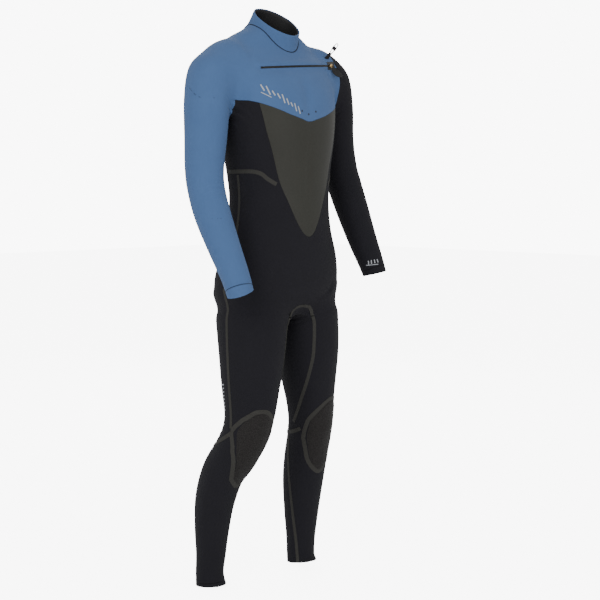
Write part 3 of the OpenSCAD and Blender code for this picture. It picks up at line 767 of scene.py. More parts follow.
def split_limb(mesh, limb):
    """cuts at the ends of the bending zones and yields (zone tag, piece, how it moves)"""
    side, kind = limb.split("_")
    names = [side + "_" + z for z in ORDER[kind]]
    for z in names:
        for end in (0.0, 1.0):
            mesh.cut(zone_value(z, mesh.v) - end)
    c = mesh.centres()
    v1, v2 = zone_value(names[0], c), zone_value(names[1], c)
    stage = np.where(v1 < 0, 0, np.where(v1 < 1, 1, np.where(v2 < 0, 2, np.where(v2 < 1, 3, 4))))
    z1, z2 = ZONES[names[0]], ZONES[names[1]]
    how = [("ride", z1[1]), ("blend", names[0]), ("ride", z1[2]), ("blend", names[1]), ("ride", z2[2])]
    tags = ["root", ORDER[kind][0], "upper", ORDER[kind][1], "lower"]
    for k in range(5):
        if (stage == k).any():
            yield tags[k], mesh.part(stage == k), how[k]


def attach(o, how):
    kind, what = how
    if kind == "ride":
        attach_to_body(o, what)
    else:
        _, a, b, s, e = ZONES[what]
        list(M(s))
        list(M(e))
        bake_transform(o)
    return o


def ribbon(path, width, height, project=True, per=None, base=0.25, level=0.0):
    """a taped strip along a path lying on the suit; returns a Mesh of its outside"""
    p = np.asarray(path, float)
    seg = np.linalg.norm(np.diff(p, axis=0), axis=1)
    s = np.concatenate([[0], np.cumsum(seg)])
    n = max(2, int(s[-1] / (per or 4.0)))
    q = np.stack([np.interp(np.linspace(0, s[-1], n), s, p[:, k]) for k in range(3)], 1)
    if project:
        q = to_surface(q, level, 4)
    _, nn = gradient(q)
    t = np.gradient(q, axis=0)
    t -= nn * (t * nn).sum(1)[:, None]
    t /= np.linalg.norm(t, axis=1)[:, None]
    b = np.cross(t, nn)
    us = np.linspace(-1, 1, 7)
    rows = []
    for u in us:
        e = q + b * (u * width / 2)
        if project:
            e = to_surface(e, level, 2)
        rows.append(e)
    grid = np.stack(rows, 1)
    flat = grid.reshape(-1, 3)
    _, nf = gradient(flat)
    lift = np.tile(base + height * (1 - np.abs(us) ** 6 * 0.55), n)
    flat = flat + nf * lift[:, None]
    k = len(us)
    tris = []
    for i in range(n - 1):
        for j in range(k - 1):
            a, c = i * k + j, (i + 1) * k + j
            tris += [[a, a + 1, c + 1], [a, c + 1, c]]
    m = Mesh(flat, tris, nf)
    f0 = m.v[m.t[0]]
    if np.dot(np.cross(f0[1] - f0[0], f0[2] - f0[0]), nf[0]) < 0:
        m.t = m.t[:, ::-1]
    return m


# ------------------------------------------------------------------ the suit's skin, cut into its panels
STEP = 4.5


def build_skin():
    v, q = surface_net(STEP)
    p = to_surface(v, 0.0, 2)
    lost = np.linalg.norm(p - v, axis=1) > STEP * 0.8
    p[lost] = v[lost]
    _, n = gradient(p)
    short = np.linalg.norm(p[q[:, 0]] - p[q[:, 2]], axis=1) <= np.linalg.norm(p[q[:, 1]] - p[q[:, 3]], axis=1)
    a, b = q[short], q[~short]
    t = np.concatenate([a[:, [0, 1, 2]], a[:, [0, 2, 3]], b[:, [1, 2, 3]], b[:, [1, 3, 0]]])
    g = np.cross(p[t[:, 1]] - p[t[:, 0]], p[t[:, 2]] - p[t[:, 0]])
    bad = (g * n[t].sum(1)).sum(1) < 0
    t[bad] = t[bad][:, ::-1]
    t = t[np.linalg.norm(g, axis=1) > 1e-6]
    return Mesh(p, t, n)


def drop(mesh, mask):
    m = mesh.part(~mask)
    mesh.v, mesh.t, mesh.n, mesh.seam = m.v, m.t, m.n, m.seam


def lim(h, pts):
    return np.interp(h, [p[0] for p in pts], [p[1] for p in pts])


ARMHOLE = [(1240, 164), (1290, 171), (1340, 176), (1370, 172), (1400, 160), (1440, 150), (1470, 140)]
V_LINE = [(0, 1240), (10, 1241), (23, 1245), (60, 1255), (99, 1269), (133, 1281), (150, 1286), (200, 1290)]


def arm_side(p, s):
    """+ on the sleeve's side of the armhole"""
    name = "left_arm" if s > 0 else "right_arm"
    low = trunk_field(p) - LIMBS[name].field(p)
    high = s * p[:, 0] - lim(p[:, 2], ARMHOLE)
    w = smooth(1240, 1285, p[:, 2])
    return np.where((s * p[:, 0] > 60) & (p[:, 2] > 775), low * (1 - w) + high * w, -50.0)


def chest_edge(p):
    s = smooth(-12, 62, p[:, 1])
    return p[:, 2] - (lim(np.abs(p[:, 0]), V_LINE) * (1 - s) + 1330 * s)


NECK_Y, NECK_LEAN, NECK_RX, NECK_RY = 23.0, -20.0, (64.0, -4.5), (71.5, -6.5)


def neck_field(p):
    tilt = math.radians(28.5)
    d = p - np.array([0, NECK_Y, 1449.0])
    t = (d[:, 1] * NECK_LEAN + d[:, 2] * 42) / (NECK_LEAN ** 2 + 42 ** 2)
    e = d[:, 1] * math.cos(tilt) + d[:,
                                     2] * math.sin(tilt) - t * (NECK_LEAN * math.cos(tilt)
                                                                + 42 * math.sin(tilt))
    a, b = NECK_RX[0] + 0.6 + NECK_RX[1] * t, NECK_RY[0] + 0.6 + NECK_RY[1] * t
    return np.where(t > -0.95, (np.hypot(d[:, 0] / a, e / b) - 1) * 62, 40.0)


def zip_angle(p):
    z = zip_local(p)
    return np.degrees(np.arctan2(z[:, 0], ZIP_CY - z[:, 1]))


def zip_height(p):
    return zip_local(p)[:, 2]


BELLY = np.vstack([
    [(x, h) for x, h in ((-133, 1281), (-99, 1269), (-60, 1255), (-23, 1245), (-10, 1241), (0, 1240),
                         (10, 1241),
                         (23, 1245), (60, 1255), (99, 1269), (133, 1281))],
    rounded([(119, 1216), (99, 1150), (82, 1091), (60, 1044), (40, 1003), (21, 974), (8, 964), (0, 962),
             (-8, 964), (-21, 974), (-40, 1003), (-60, 1044), (-82, 1091), (-99, 1150), (-119, 1216)], 4)])
SLIT = 2.7
# the sleeves' hems are cut on a slant
HEM = {-1: np.array([0.287, -0.125, -0.947]) / 0.9975, 1: np.array([0.12, -0.2, -0.972]) / 0.9996}
skin = build_skin()

for name, L in LIMBS.items():
    def end_of(p, L=L, arm=name.endswith("arm"), s=-1 if name.startswith("right") else 1):
        reach, low, high = (185, 760, 965) if arm else (60, 0, 190)
        near = (p[:, 0] * s > reach) & (p[:, 2] < high) & (p[:, 2] > low)
        out = np.full(len(p), -9.0)
        if near.any():
            if arm:
                out[near] = (p[near] - L.tab[L.n_true, :3]) @ HEM[s]
            else:
                out[near] = (L.along(p[near]) - L.n_true) * 30
        return near, out
    near, f = end_of(skin.v)
    skin.cut(f, near)
    drop(skin, end_of(skin.centres())[1] > 0)

near = skin.v[:, 2] > 1392
skin.cut(neck_field(skin.v), near)
c = skin.centres()
drop(skin, (c[:, 2] > 1392) & (neck_field(c) < 0))


def slot_zone(p):
    return (np.abs(zip_height(p)) < 14) & (p[:, 1] < 40) & (np.abs(p[:, 0]) < 190)


for up in (SLIT, -SLIT):
    skin.cut(zip_height(skin.v) - up, slot_zone(skin.v))
for a in (-15.3, 20.3):
    skin.cut(zip_angle(skin.v) - a, slot_zone(skin.v))
c = skin.centres()
ang = zip_angle(c)
drop(skin, slot_zone(c) & (np.abs(zip_height(c)) < SLIT) & (ang > -15.3) & (ang < 20.3))

for s in (-1, 1):
    f = arm_side(skin.v, s)
    skin.cut(f, (skin.v[:, 2] > 1205) & (skin.v[:, 0] * s > 90), seam=s > 0)


def body_side(p):
    """mask of what belongs to trunk and legs"""
    return (arm_side(p, -1) <= 1e-3) & (arm_side(p, 1) <= 1e-3)


m = body_side(skin.v) & (skin.v[:, 2] > 1200) & (skin.v[:, 2] < 1375)
skin.cut(chest_edge(skin.v), m, seam=True)
m = body_side(skin.v) & (skin.v[:, 1] < -15) & (skin.v[:, 2] < 1300) & (skin.v[:, 2] > 930)
skin.cut(poly_distance(skin.v[:, 0], skin.v[:, 2], BELLY), m & (chest_edge(skin.v) < 0.01), seam=True)


def hip_value(p):
    return np.where(p[:, 0] < 0, zone_value("right_hip", p), zone_value("left_hip", p))


m = body_side(skin.v) & (skin.v[:, 2] < 900)
skin.cut(hip_value(skin.v), m)
m = lambda: body_side(skin.v) & (skin.v[:, 2] < 1345) & (hip_value(skin.v) < 1e-3)
low = lambda p: chest_edge(p) < 0.01
for y in (-34.0, 40.0):
    skin.cut(skin.v[:, 1] - y, m(), seam=False)
skin.cut(skin.v[:, 1] - 40.0, body_side(skin.v) & (skin.v[:, 2] > 1250), seam=False)
skin.cut(skin.v[:, 0], m() & (skin.v[:, 1] < -20) & (skin.v[:, 2] < 985), seam=False)
skin.cut(skin.v[:, 2] - 1010.0, m() & (skin.v[:, 1] > 30), seam=True)
for x in (-34.0, 34.0):
    skin.cut(skin.v[:, 0] - x, m() & (skin.v[:, 2] < 810), seam=False)
skin.cut(skin.v[:, 2] - 790.0, m() & (np.abs(skin.v[:, 0]) < 36), seam=False)
skin.cut(zip_height(skin.v), body_side(skin.v) & (skin.v[:, 1] < 45) & (skin.v[:, 2] > 1340), seam=False)

c = skin.centres()
on_right, on_left = arm_side(c, -1) > 0, arm_side(c, 1) > 0
body = ~on_right & ~on_left
hip = body & (hip_value(c) > 0) & (c[:, 2] < 900)
torso = body & ~hip
blue = torso & (chest_edge(c) > 0)
front = c[:, 1] < 40
belly = torso & ~blue & (c[:, 1] < -15) & (poly_distance(c[:, 0], c[:, 2], BELLY) > 0)
gusset = torso & (np.abs(c[:, 0]) < 34) & (c[:, 2] < 790)
rest = torso & ~blue & ~belly & ~gusset
pieces = [
    ("shoulder_yoke", blue & front & (zip_height(c) > 0), "blue", 4.0, ["shoulder_yoke"]),
    ("chest_panel", blue & front & (zip_height(c) < 0), "blue", 4.0, ["chest_panel"]),
    ("upper_back_panel", blue & ~front, "blue", 4.0, ["upper_back_panel"]),
    ("belly_panel", belly, "grey", 4.0, ["belly_panel"]),
    ("right_front_panel", rest & (c[:, 1] < -34) & (c[:, 0] < 0), "black", 4.0, ["right_front_panel"]),
    ("left_front_panel", rest & (c[:, 1] < -34) & (c[:, 0] > 0), "black", 4.0, ["left_front_panel"]),
    ("right_side_panel", rest & (c[:, 1] > -34) & front & (c[:, 0] < 0), "black", 4.0, ["right_side_panel"]),
    ("left_side_panel", rest & (c[:, 1] > -34) & front & (c[:, 0] > 0), "black", 4.0, ["left_side_panel"]),
    ("back_panel", rest & ~front & (c[:, 2] > 1010), "black", 4.0, ["back_panel"]),
    ("seat_panel", rest & ~front & (c[:, 2] < 1010), "black", 4.0, ["seat_panel"]),
    ("crotch_gusset", gusset, "black", 4.0, ["crotch_gusset"]),
]


def finish_piece(o, how, nodes, slot):
    attach(o, how)
    if nodes:
        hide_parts(*nodes)
    return o


for name, mask, mat, wall, nodes in pieces:
    if mask.any():
        finish_piece(shell_object(name, skin.part(mask), wall, mat), ("ride", "torso"), nodes, SLOT[mat])

limb_mesh = {"right_arm": skin.part(on_right), "left_arm": skin.part(on_left),
             "right_leg": skin.part(hip & (c[:, 0] < 0)), "left_leg": skin.part(hip & (c[:, 0] > 0))}
CUFF = {"right_arm": 9.61, "left_arm": 9.51, "right_leg": 11.61, "left_leg": 11.61}
for limb, mesh in limb_mesh.items():
    side, kind = limb.split("_")
    mat = "blue" if limb == "right_arm" else "black"
    names = {"arm": {"root": "shoulder_panel", "shoulder": "underarm_panel", "upper": "upper_sleeve",
                     "elbow": "elbow_panel", "lower": "forearm_sleeve"},
             "leg": {"hip": "hip_panel", "upper": "thigh_panel", "knee": "knee_panel",
                     "lower": "calf_panel"}}[kind]
    for tag, part, how in split_limb(mesh, limb):
        if tag == "root" and kind == "leg":
            tag = "hip"
            how = ("blend", side + "_hip")
        if tag == "lower":
            L = LIMBS[limb]
            f = L.along(part.v) - CUFF[limb]
            part.cut(f, seam=False)
            part.seam = np.minimum(part.seam, np.abs(L.along(part.v) - CUFF[limb]) * 30)
            out = L.along(part.centres()) > CUFF[limb]
            cuff = "wrist_cuff" if kind == "arm" else "ankle_cuff"
            finish_piece(shell_object(f"{side}_{cuff}", part.part(out), 3.0, mat), how, [f"{side}_{cuff}"],
                         SLOT[mat])
            part = part.part(~out)
        name = f"{side}_{names[tag]}"
        node = [] if tag == "shoulder" else [name]
        finish_piece(shell_object(name, part, 3.4 if tag in ("root", "hip") else 3.0, mat), how, node,
                     SLOT[mat])


# ------------------------------------------------------------------ collar
def collar_point(t, a, g):
    tilt = np.radians(29 - 2 * t)
    rx, ry = NECK_RX[0] + NECK_RX[1] * t + g, NECK_RY[0] + NECK_RY[1] * t + g
    return np.stack([rx * np.cos(a), NECK_Y + NECK_LEAN * t + ry * np.sin(a) * np.cos(tilt),
                     1449 + 42 * t + ry * np.sin(a) * np.sin(tilt)], -1)


def rim_height(a):
    """the collar is lower at the throat and taller at the nape"""
    return 0.95 + 0.2 * np.sin(a) + 0.012 * np.sin(2 * a + 0.7)


def flare(t):
    return 6.5 * np.exp(-np.maximum(t + 0.05, 0) / 0.16) - 0.4


def ring_tube(name, profile, mats, n=144):
    """a closed band round the neck from a profile of (share of the collar's height, growth)"""
    a = np.linspace(0, 2 * np.pi, n, endpoint=False)
    rows = []
    for q, g in profile:
        deep = 6.5 if q > -0.2 else 2.0          # the band reaches further down at the nape
        t = q * (1 + deep * smooth(-0.3, 1.0, np.sin(a)) if q < 0 else rim_height(a))
        wave = 0.6 * np.sin(3 * a + 1.0) * smooth(0.3, 1.0, np.array(q))
        wave = wave + 0.35 * np.sin(7 * a) * smooth(0.6, 1.0, np.array(q))
        rows.append(collar_point(t, a, g + wave))
    v = np.concatenate(rows)
    k = len(profile)
    f = []
    for i in range(k):
        for j in range(n):
            j2, i2 = (j + 1) % n, (i + 1) % k
            f.append([i * n + j, i * n + j2, i2 * n + j2, i2 * n + j])
    o = plain_object(name, v, f, mats)
    far = o.data.attributes.new("seam", "FLOAT", "POINT")
    far.data.foreach_set("value", [NO_SEAM] * len(v))
    return o


out_p = [(q, float(flare(np.array(q)))) for q in (-0.12, -0.05, 0.0, 0.06, 0.13, 0.22, 0.35, 0.5, 0.65, 0.8,
                                                  0.9, 0.96)]
rim_p = [(0.99, -0.8), (1.0, -1.6), (1.0, -2.4), (0.99, -3.2), (0.95, -3.7)]
in_p = [(0.8, -3.8), (0.5, -3.8), (0.2, -3.8), (-0.12, -3.6)]
collar = ring_tube("collar", out_p + rim_p + in_p, ["blue"])
finish_piece(collar, ("ride", "torso"), ["collar"], "blue_neoprene")
line_p = [(0.93, -4.1), (0.965, -4.35), (0.975, -4.9), (0.95, -5.4), (0.8, -5.6), (0.4, -5.7), (0.0, -5.7),
          (-0.3, -5.4),
          (-0.3, -4.3), (0.0, -4.2), (0.5, -4.2)]
lining = ring_tube("collar_lining", line_p, ["lining"])
finish_piece(lining, ("ride", "torso"), ["collar_lining"], "collar_lining")
# the sewn line where the collar meets the yoke
loop = []
for b in np.linspace(0, 2 * np.pi, 181)[:-1]:
    tt = np.linspace(-1.1 if math.sin(b) > 0 else -0.3, 0.7, 141)
    q = collar_point(tt, b, flare(np.maximum(tt, -0.06)))
    f = field(q)
    k = np.nonzero((f[:-1] < 0) & (f[1:] >= 0))[0]
    k = k[-1] if len(k) else 40
    loop.append(q[k] + (q[k + 1] - q[k]) * (-f[k] / (f[k + 1] - f[k] + 1e-9) if f[k + 1] > f[k] else 0.5))
loop = np.array(loop)
for _ in range(3):
    loop = (np.roll(loop, 1, 0) + 2 * loop + np.roll(loop, -1, 0)) / 4
loop = np.vstack([loop, loop[:1]])


def tube_mesh(name, pts, r, mat, sides=8, closed=True):
    n = len(pts) - (1 if closed else 0)
    p = np.asarray(pts, float)[:n]
    nxt, prv = np.roll(p, -1, 0), np.roll(p, 1, 0)
    if not closed:
        nxt[-1], prv[0] = p[-1], p[0]
    t = nxt - prv
    t /= np.linalg.norm(t, axis=1)[:, None]
    _, nn = gradient(p)
    nn -= t * (t * nn).sum(1)[:, None]
    nn /= np.linalg.norm(nn, axis=1)[:, None]
    b = np.cross(t, nn)
    ang = np.linspace(0, 2 * np.pi, sides, endpoint=False)
    out, over = np.cos(ang)[None, :, None], np.sin(ang)[None, :, None]
    v = (p[:, None] + r * (out * nn[:, None] + over * b[:, None])).reshape(-1, 3)
    f = []
    for i in range(n if closed else n - 1):
        for j in range(sides):
            j2, i2 = (j + 1) % sides, (i + 1) % n
            f.append([i * sides + j, i * sides + j2, i2 * sides + j2, i2 * sides + j])
    if not closed:
        f += [list(range(sides))[::-1], [(n - 1) * sides + j for j in range(sides)]]
    return plain_object(name, v, f, [mat])


finish_piece(tube_mesh("collar_seam", loop, 1.2, "black"), ("ride", "torso"), [], "seam_tape")


# ------------------------------------------------------------------ seam tapes
def put_tape(name, path, nodes, limb=None, width=10.0, how=("ride", "torso"), height=0.75, base=0.25,
             mat="tape", slot="seam_tape"):
    m = ribbon(rounded(path, 6), width, height, base=base)
    if limb is None:
        finish_piece(shell_object(name, m, height, mat, mat), how, nodes, slot)
        return
    for k, (tag, part, way) in enumerate(split_limb(m, limb)):
        nm = name if k == 0 else f"{name}_{tag}"
        finish_piece(shell_object(nm, part, height, mat, mat), way, nodes, slot)


for side, s in (("right", -1), ("left", 1)):
    P = lambda pts: [(s * abs(x) if x != 0 else 0, y, h) for x, y, h in pts]
    put_tape(f"{side}_waist_tape",
             P([(140, 38, 1121), (140, 27, 1120), (140, -30, 1120), (131, -50, 1119), (120, -64, 1114),
                                   (109, -74, 1102), (90, -85, 1089)]), [f"{side}_waist_tape"])
    put_tape(f"{side}_side_tape",
             P([(141, -5, 1112), (140, -5, 1060), (145, -5, 1000), (155, -5, 940), (165, -4, 890),
                                   (168, -3, 866)]), [], width=7.0, height=0.55)
put_tape("right_leg_outer_tape",
         [(-172, 12, 838), (-169, 6, 797), (-176, -4, 700), (-180, -11, 617), (-182, -15, 550),
          (-180, -18, 500)],
         ["right_leg_outer_tape"], "right_leg", width=8.0)
put_tape("left_leg_outer_tape",
         [(172, 12, 838), (169, 6, 797), (176, 0, 700), (182, 2, 617), (184, 6, 550), (181, 10, 506)],
         ["left_leg_outer_tape"], "left_leg", width=8.0)
put_tape("left_leg_inner_tape",
         [(79, 42, 452), (83, 45, 425), (88, 45, 370), (92, 44, 300), (95, 42, 237), (104, 41, 179),
          (107, 38, 130), (108, 35, 96)],
         ["left_leg_inner_tape"], "left_leg", width=8.0)
put_tape("right_leg_inner_tape",
         [(-79, 34, 452), (-82, 44, 425), (-88, 64, 370), (-92, 78, 300), (-95, 84, 237), (-104, 88, 179),
          (-107, 86, 130), (-108, 84, 84)],
         ["right_leg_inner_tape"], "right_leg", width=8.0)
# the arch of tape over the crotch, down both inner thighs
arch = [(0, -97, 786), (18, -96, 783), (33, -92, 770), (43, -86, 746), (49, -80, 715), (51, -77, 690),
        (52, -74, 660),
        (50, -66, 625), (50, -52, 590), (54, -30, 550), (62, -6, 510), (72, 14, 480)]
for side, s in (("right", -1), ("left", 1)):
    put_tape(f"{side}_thigh_arch_tape", [(s * x, y, h) for x, y, h in arch], [], f"{side}_leg", width=8.5)

# knee tapes and pads: outlines given as seen from the front
PAD = [(-50, 43), (-41, 69), (-30, 82), (-19, 91), (-4, 93), (12, 89), (28, 76), (42, 58), (50, 38), (50, 14),
       (48, -10), (43, -30), (34, -66), (22, -88), (6, -103), (-8, -103), (-21, -92), (-33, -76),
       (-44, -28), (-49, 0)]
KNEE = {"right": (-130, 6, 450), "left": (131, 16, 450)}


def front_of(x, h, lo=-150.0, hi=60.0):
    """first place from the front where a line along y meets the suit, else the closest pass"""
    ys = np.arange(lo, hi, 1.5)
    f = field(np.stack([np.full(len(ys), x), ys, np.full(len(ys), h)], 1))
    k = np.nonzero(f < 0)[0]
    return ys[k[0]] if len(k) else ys[f.argmin()]


def refine(mesh):
    t = mesh.t
    e = np.sort(np.concatenate([t[:, [0, 1]], t[:, [1, 2]], t[:, [2, 0]]]), axis=1)
    u, inv = np.unique(e, axis=0, return_inverse=True)
    inv = inv.ravel()
    k, b = len(t), len(mesh.v)
    ab, bc, ca = inv[:k] + b, inv[k:2 * k] + b, inv[2 * k:] + b
    # edges on the outline stay where they are
    once = np.bincount(inv, minlength=len(u)) == 1
    mid = mesh.v[u].mean(1)
    moved = to_surface(mid, 0.0, 1)
    mid[~once] = moved[~once]
    v = np.vstack([mesh.v, mid])
    _, n = gradient(v)
    t2 = np.concatenate([np.stack([t[:, 0], ab, ca], 1), np.stack([ab, t[:, 1], bc], 1),
                         np.stack([ca, bc, t[:, 2]], 1), np.stack([ab, bc, ca], 1)])
    return Mesh(v, t2, n, np.concatenate([mesh.seam, mesh.seam[u].mean(1)]))


for side, s in (("right", 1), ("left", -1)):
    limb = side + "_leg"
    kx, ky, kh = KNEE[side]
    edge = rounded(PAD, 5, closed=True)
    count = 0
    for tag, part, how in split_limb(Mesh(*[getattr(limb_mesh[limb], k) for k in ("v", "t", "n", "seam")]),
                                     limb):
        near = (part.v[:, 1] < ky + 16) & (part.v[:, 2] > 300) & (part.v[:, 2] < 590) & (part.n[:, 1] < 0.35)
        if not near.any():
            continue
        d = lambda p: poly_distance((p[:, 0] - kx) * s, p[:, 2] - kh, edge) - 4.2
        part.cut(np.where(near, d(part.v), -5), near)
        c = part.centres()
        keep = (d(c) > 0) & (c[:, 1] < ky + 15) & ~((c[:, 2] > kh + 6) & (c[:, 1] > ky - 8))
        if keep.sum() < 4:
            continue
        pad = part.part(keep)
        pad = refine(pad)
        lift = 0.5 + 2.1 * smooth(0, 7, d(pad.v))
        lift += 0.16 * np.cos(2 * np.pi * pad.v[:, 2] / 6.5) * smooth(4, 12, d(pad.v))
        nm = f"{side}_knee_pad" + ("" if count == 0 else "_" + tag)
        o = shell_object(nm, pad, lift - 0.28, "pad", "pad", raise_by=lift)
        finish_piece(o, how, [f"{side}_knee_pad"], "knee_pad")
        count += 1
    ring = np.vstack([edge, edge[:1]])[::2]
    path = np.array([[kx + s * x, front_of(kx + s * x, kh + h), kh + h] for x, h in ring])
    put_tape(f"{side}_knee_tape", to_surface(path, 0, 3), [f"{side}_knee_tape"], limb, width=11.0)
put_tape("right_knee_back_tape",
         [(-180, -22, 490), (-180, 10, 470), (-174, 41, 455), (-156, 66, 446), (-133, 74, 442),
                                  (-106, 66, 440), (-86, 44, 440), (-79, 18, 448), (-80, -4, 458)], [],
         "right_leg")
put_tape("left_knee_back_tape",
         [(76, -6, 464), (76, 24, 452), (90, 58, 446), (131, 82, 440), (166, 64, 446), (184, 34, 462),
                                 (184, 6, 480), (181, -12, 492)], [], "left_leg")


# ------------------------------------------------------------------ zip
def arc(r, deg, h):
    a = math.radians(deg)
    return tuple(from_zip(np.array([r * math.sin(a), ZIP_CY - r * math.cos(a), h - ZIP_H])))


def simple(name, v, f, mat, smooth_faces=False):
    return plain_object(name, v, f, [mat], smooth_faces)


BOX_F = [[0, 3, 2, 1], [4, 5, 6, 7], [0, 1, 5, 4], [1, 2, 6, 5], [2, 3, 7, 6], [3, 0, 4, 7]]


def add_box(V, F, corners):
    b = len(V)
    V.extend(corners)
    F.extend([[i + b for i in f] for f in BOX_F])


def arc_box(r0, r1, a, w, h0, h1):
    """corners of a block on the arc, 2w degrees wide"""
    turns = ((r0, -w), (r0, w), (r1, w), (r1, -w))
    return [arc(r, a + da, h) for h in (h0, h1) for r, da in turns]


def arc_strip(name, r0, r1, h0, h1, a0, a1, mat, n=110):
    V, F = [], []
    for a in np.linspace(a0, a1, n):
        V += [arc(r0, a, h0), arc(r1, a, h0), arc(r1, a, h1), arc(r0, a, h1)]
    for i in range(n - 1):
        for k in range(4):
            F.append([i * 4 + k, i * 4 + (k + 1) % 4, (i + 1) * 4 + (k + 1) % 4, (i + 1) * 4 + k])
    F += [[3, 2, 1, 0], [(n - 1) * 4 + k for k in range(4)]]
    return simple(name, np.array(V), F, mat)


ZIP = (-15.2, 20.2)
for nm, sg in (("upper", 1), ("lower", -1)):
    lo_h, hi_h = sorted((ZIP_H + sg * 1.15, ZIP_H + sg * 2.6))
    finish_piece(arc_strip(f"zip_tape_{nm}", 428.4, 429.6, lo_h, hi_h, *ZIP, "plastic"), ("ride", "torso"),
                 [f"zip_tape_{nm}"], "zip_tape")
    V, F = [], []
    pitch = 0.36
    for k in range(int((ZIP[1] - ZIP[0] - 2.2) / pitch)):
        a = ZIP[0] + 1.0 + pitch * (k + (0.5 if sg < 0 else 0))
        if a > 18.2:
            break
        h0, h1 = sorted((ZIP_H + sg * 1.05, ZIP_H - sg * 0.55))
        add_box(V, F, arc_box(429.0, 430.7, a, 0.10, h0, h1))
    finish_piece(simple(f"zip_teeth_{nm}", np.array(V), F, "plastic"), ("ride", "torso"),
                 [f"zip_teeth_{nm}"], "zip_teeth")
V, F = [], []
for a in (ZIP[0] + 0.25, ZIP[1] - 0.05):
    add_box(V, F, arc_box(429.2, 431.2, a, 0.13, ZIP_H - 2, ZIP_H + 2))
finish_piece(simple("zip_stops", np.array(V), F, "plastic"), ("ride", "torso"), ["zip_stops"], "zip_teeth")
# the small garage stitched round the closed end
for nm, up in (("upper", 6.4), ("lower", -6.4)):
    a_ = np.radians(np.linspace(16.9, 21.7, 6))
    path = from_zip(np.stack([ZIP_R * np.sin(a_), ZIP_CY - ZIP_R * np.cos(a_), np.full(6, up)], -1))
    put_tape(f"zip_garage_{nm}", to_surface(path, 0, 3), [], width=7.6, height=0.7, mat="plastic",
             slot="pull_rubber")
a_ = math.radians(21.6)
path = from_zip(np.array([[ZIP_R * math.sin(a_), ZIP_CY - ZIP_R * math.cos(a_), z_] for z_ in (-8.5, -3, 3,
                                                                                               8.5)]))
put_tape("zip_garage_end", to_surface(path, 0, 3), [], width=6.0, height=0.72, mat="plastic",
         slot="pull_rubber")

SLIDER_A = math.radians(19.3)


def from_slider(p):
    p = np.asarray(p, float)
    x, y = p[..., 0], p[..., 1] - 430.0
    return from_zip(np.stack([x * math.cos(SLIDER_A) - y * math.sin(SLIDER_A),
                              ZIP_CY + x * math.sin(SLIDER_A) + y * math.cos(SLIDER_A), p[..., 2]], -1))


def extruded(bm, pts, y0, y1):
    """a flat outline (x, z) given a thickness along y"""
    lo_v = [bm.verts.new((x, y0, z)) for x, z in pts]
    hi_v = [bm.verts.new((x, y1, z)) for x, z in pts]
    n = len(pts)
    fs = [bm.faces.new(lo_v), bm.faces.new(hi_v[::-1])]
    for i in range(n):
        j = (i + 1) % n
        fs.append(bm.faces.new([lo_v[j], lo_v[i], hi_v[i], hi_v[j]]))
    return fs


def cylinder_x(bm, x0, x1, y, z, r, n=20):
    a = np.linspace(0, 2 * np.pi, n, endpoint=False)
    A = [bm.verts.new((x0, y + r * math.cos(t), z + r * math.sin(t))) for t in a]
    B = [bm.verts.new((x1, y + r * math.cos(t), z + r * math.sin(t))) for t in a]
    bm.faces.new(A[::-1])
    bm.faces.new(B)
    for i in range(n):
        j = (i + 1) % n
        bm.faces.new([A[i], A[j], B[j], B[i]])


def solid(name, build, bevel, mat, place, smooth_angle=0.7, segments=3):
    bm = bmesh.new()
    build(bm)
    bmesh.ops.recalc_face_normals(bm, faces=bm.faces)
    if bevel:
        sharp = [e for e in bm.edges if e.is_manifold and e.calc_face_angle(0) > 0.55]
        bmesh.ops.bevel(bm, geom=sharp, offset=bevel, segments=segments, profile=0.5, affect="EDGES",
                        clamp_overlap=True)
    me = bpy.data.meshes.new(name)
    for v in bm.verts:
        v.co = Vector(M(place(np.array(v.co))))
    bmesh.ops.recalc_face_normals(bm, faces=bm.faces)
    bm.to_mesh(me)
    bm.free()
    me.materials.append(MATS[mat])
    me.polygons.foreach_set("use_smooth", [True] * len(me.polygons))
    me.set_sharp_from_angle(angle=smooth_angle)
    me.update()
    return link(name, me)


def build_slider(bm):
    shield = [(-6.2, -3.0), (-4.5, -4.1), (3.0, -4.3), (6.3, -2.2), (6.3, 2.2), (3.0, 4.3), (-4.5, 4.1),
              (-6.2, 3.0)]
    extruded(bm, shield, -4.2, -2.7)
    extruded(bm, shield, 4.1, 5.3)
    extruded(bm, [(-6.0, -0.9), (-3.2, -0.9), (-3.2, 0.9), (-6.0, 0.9)], -2.7, 4.1)
    for x in (-5.0, 3.8):
        extruded(bm, [(x, -1.6), (x + 1.2, -1.6), (x + 1.2, 1.6), (x, 1.6)], -6.6, -4.2)


slider = solid("zip_slider", build_slider, 0.35, "brass", from_slider)
pin = solid("zip_slider_pin", lambda bm: cylinder_x(bm, -4.4, 4.4, -5.4, 0, 0.85), 0, "brass", from_slider)
for o in (slider, pin):
    finish_piece(o, ("ride", "zip_runner"), ["zip_slider"], "slider_brass")
LEAN = math.radians(-32)


def from_pull(p):
    p = np.asarray(p, float)
    x, y, z = p[..., 0], p[..., 1], p[..., 2]
    turn = math.radians(42) * smooth(-3.5, -15, z)      # the soft puller twists as it hangs
    x, y = x * np.cos(turn) + y * np.sin(turn), y * np.cos(turn) - x * np.sin(turn)
    q = np.stack([x, y * math.cos(LEAN) - z * math.sin(LEAN) - 5.4,
                  y * math.sin(LEAN) + z * math.cos(LEAN)], -1)
    return from_slider(q)


fin = rounded([(-2.4, -2.6), (-3.4, -5.2), (-7.6, -8), (-8.8, -16), (-7.4, -26), (-2, -33.5), (5, -37),
               (9.6, -35.5), (9.4, -26),
               (8, -14), (6, -7.6), (2.6, -4.6), (2.2, -2.6)], 3)[:, :2]


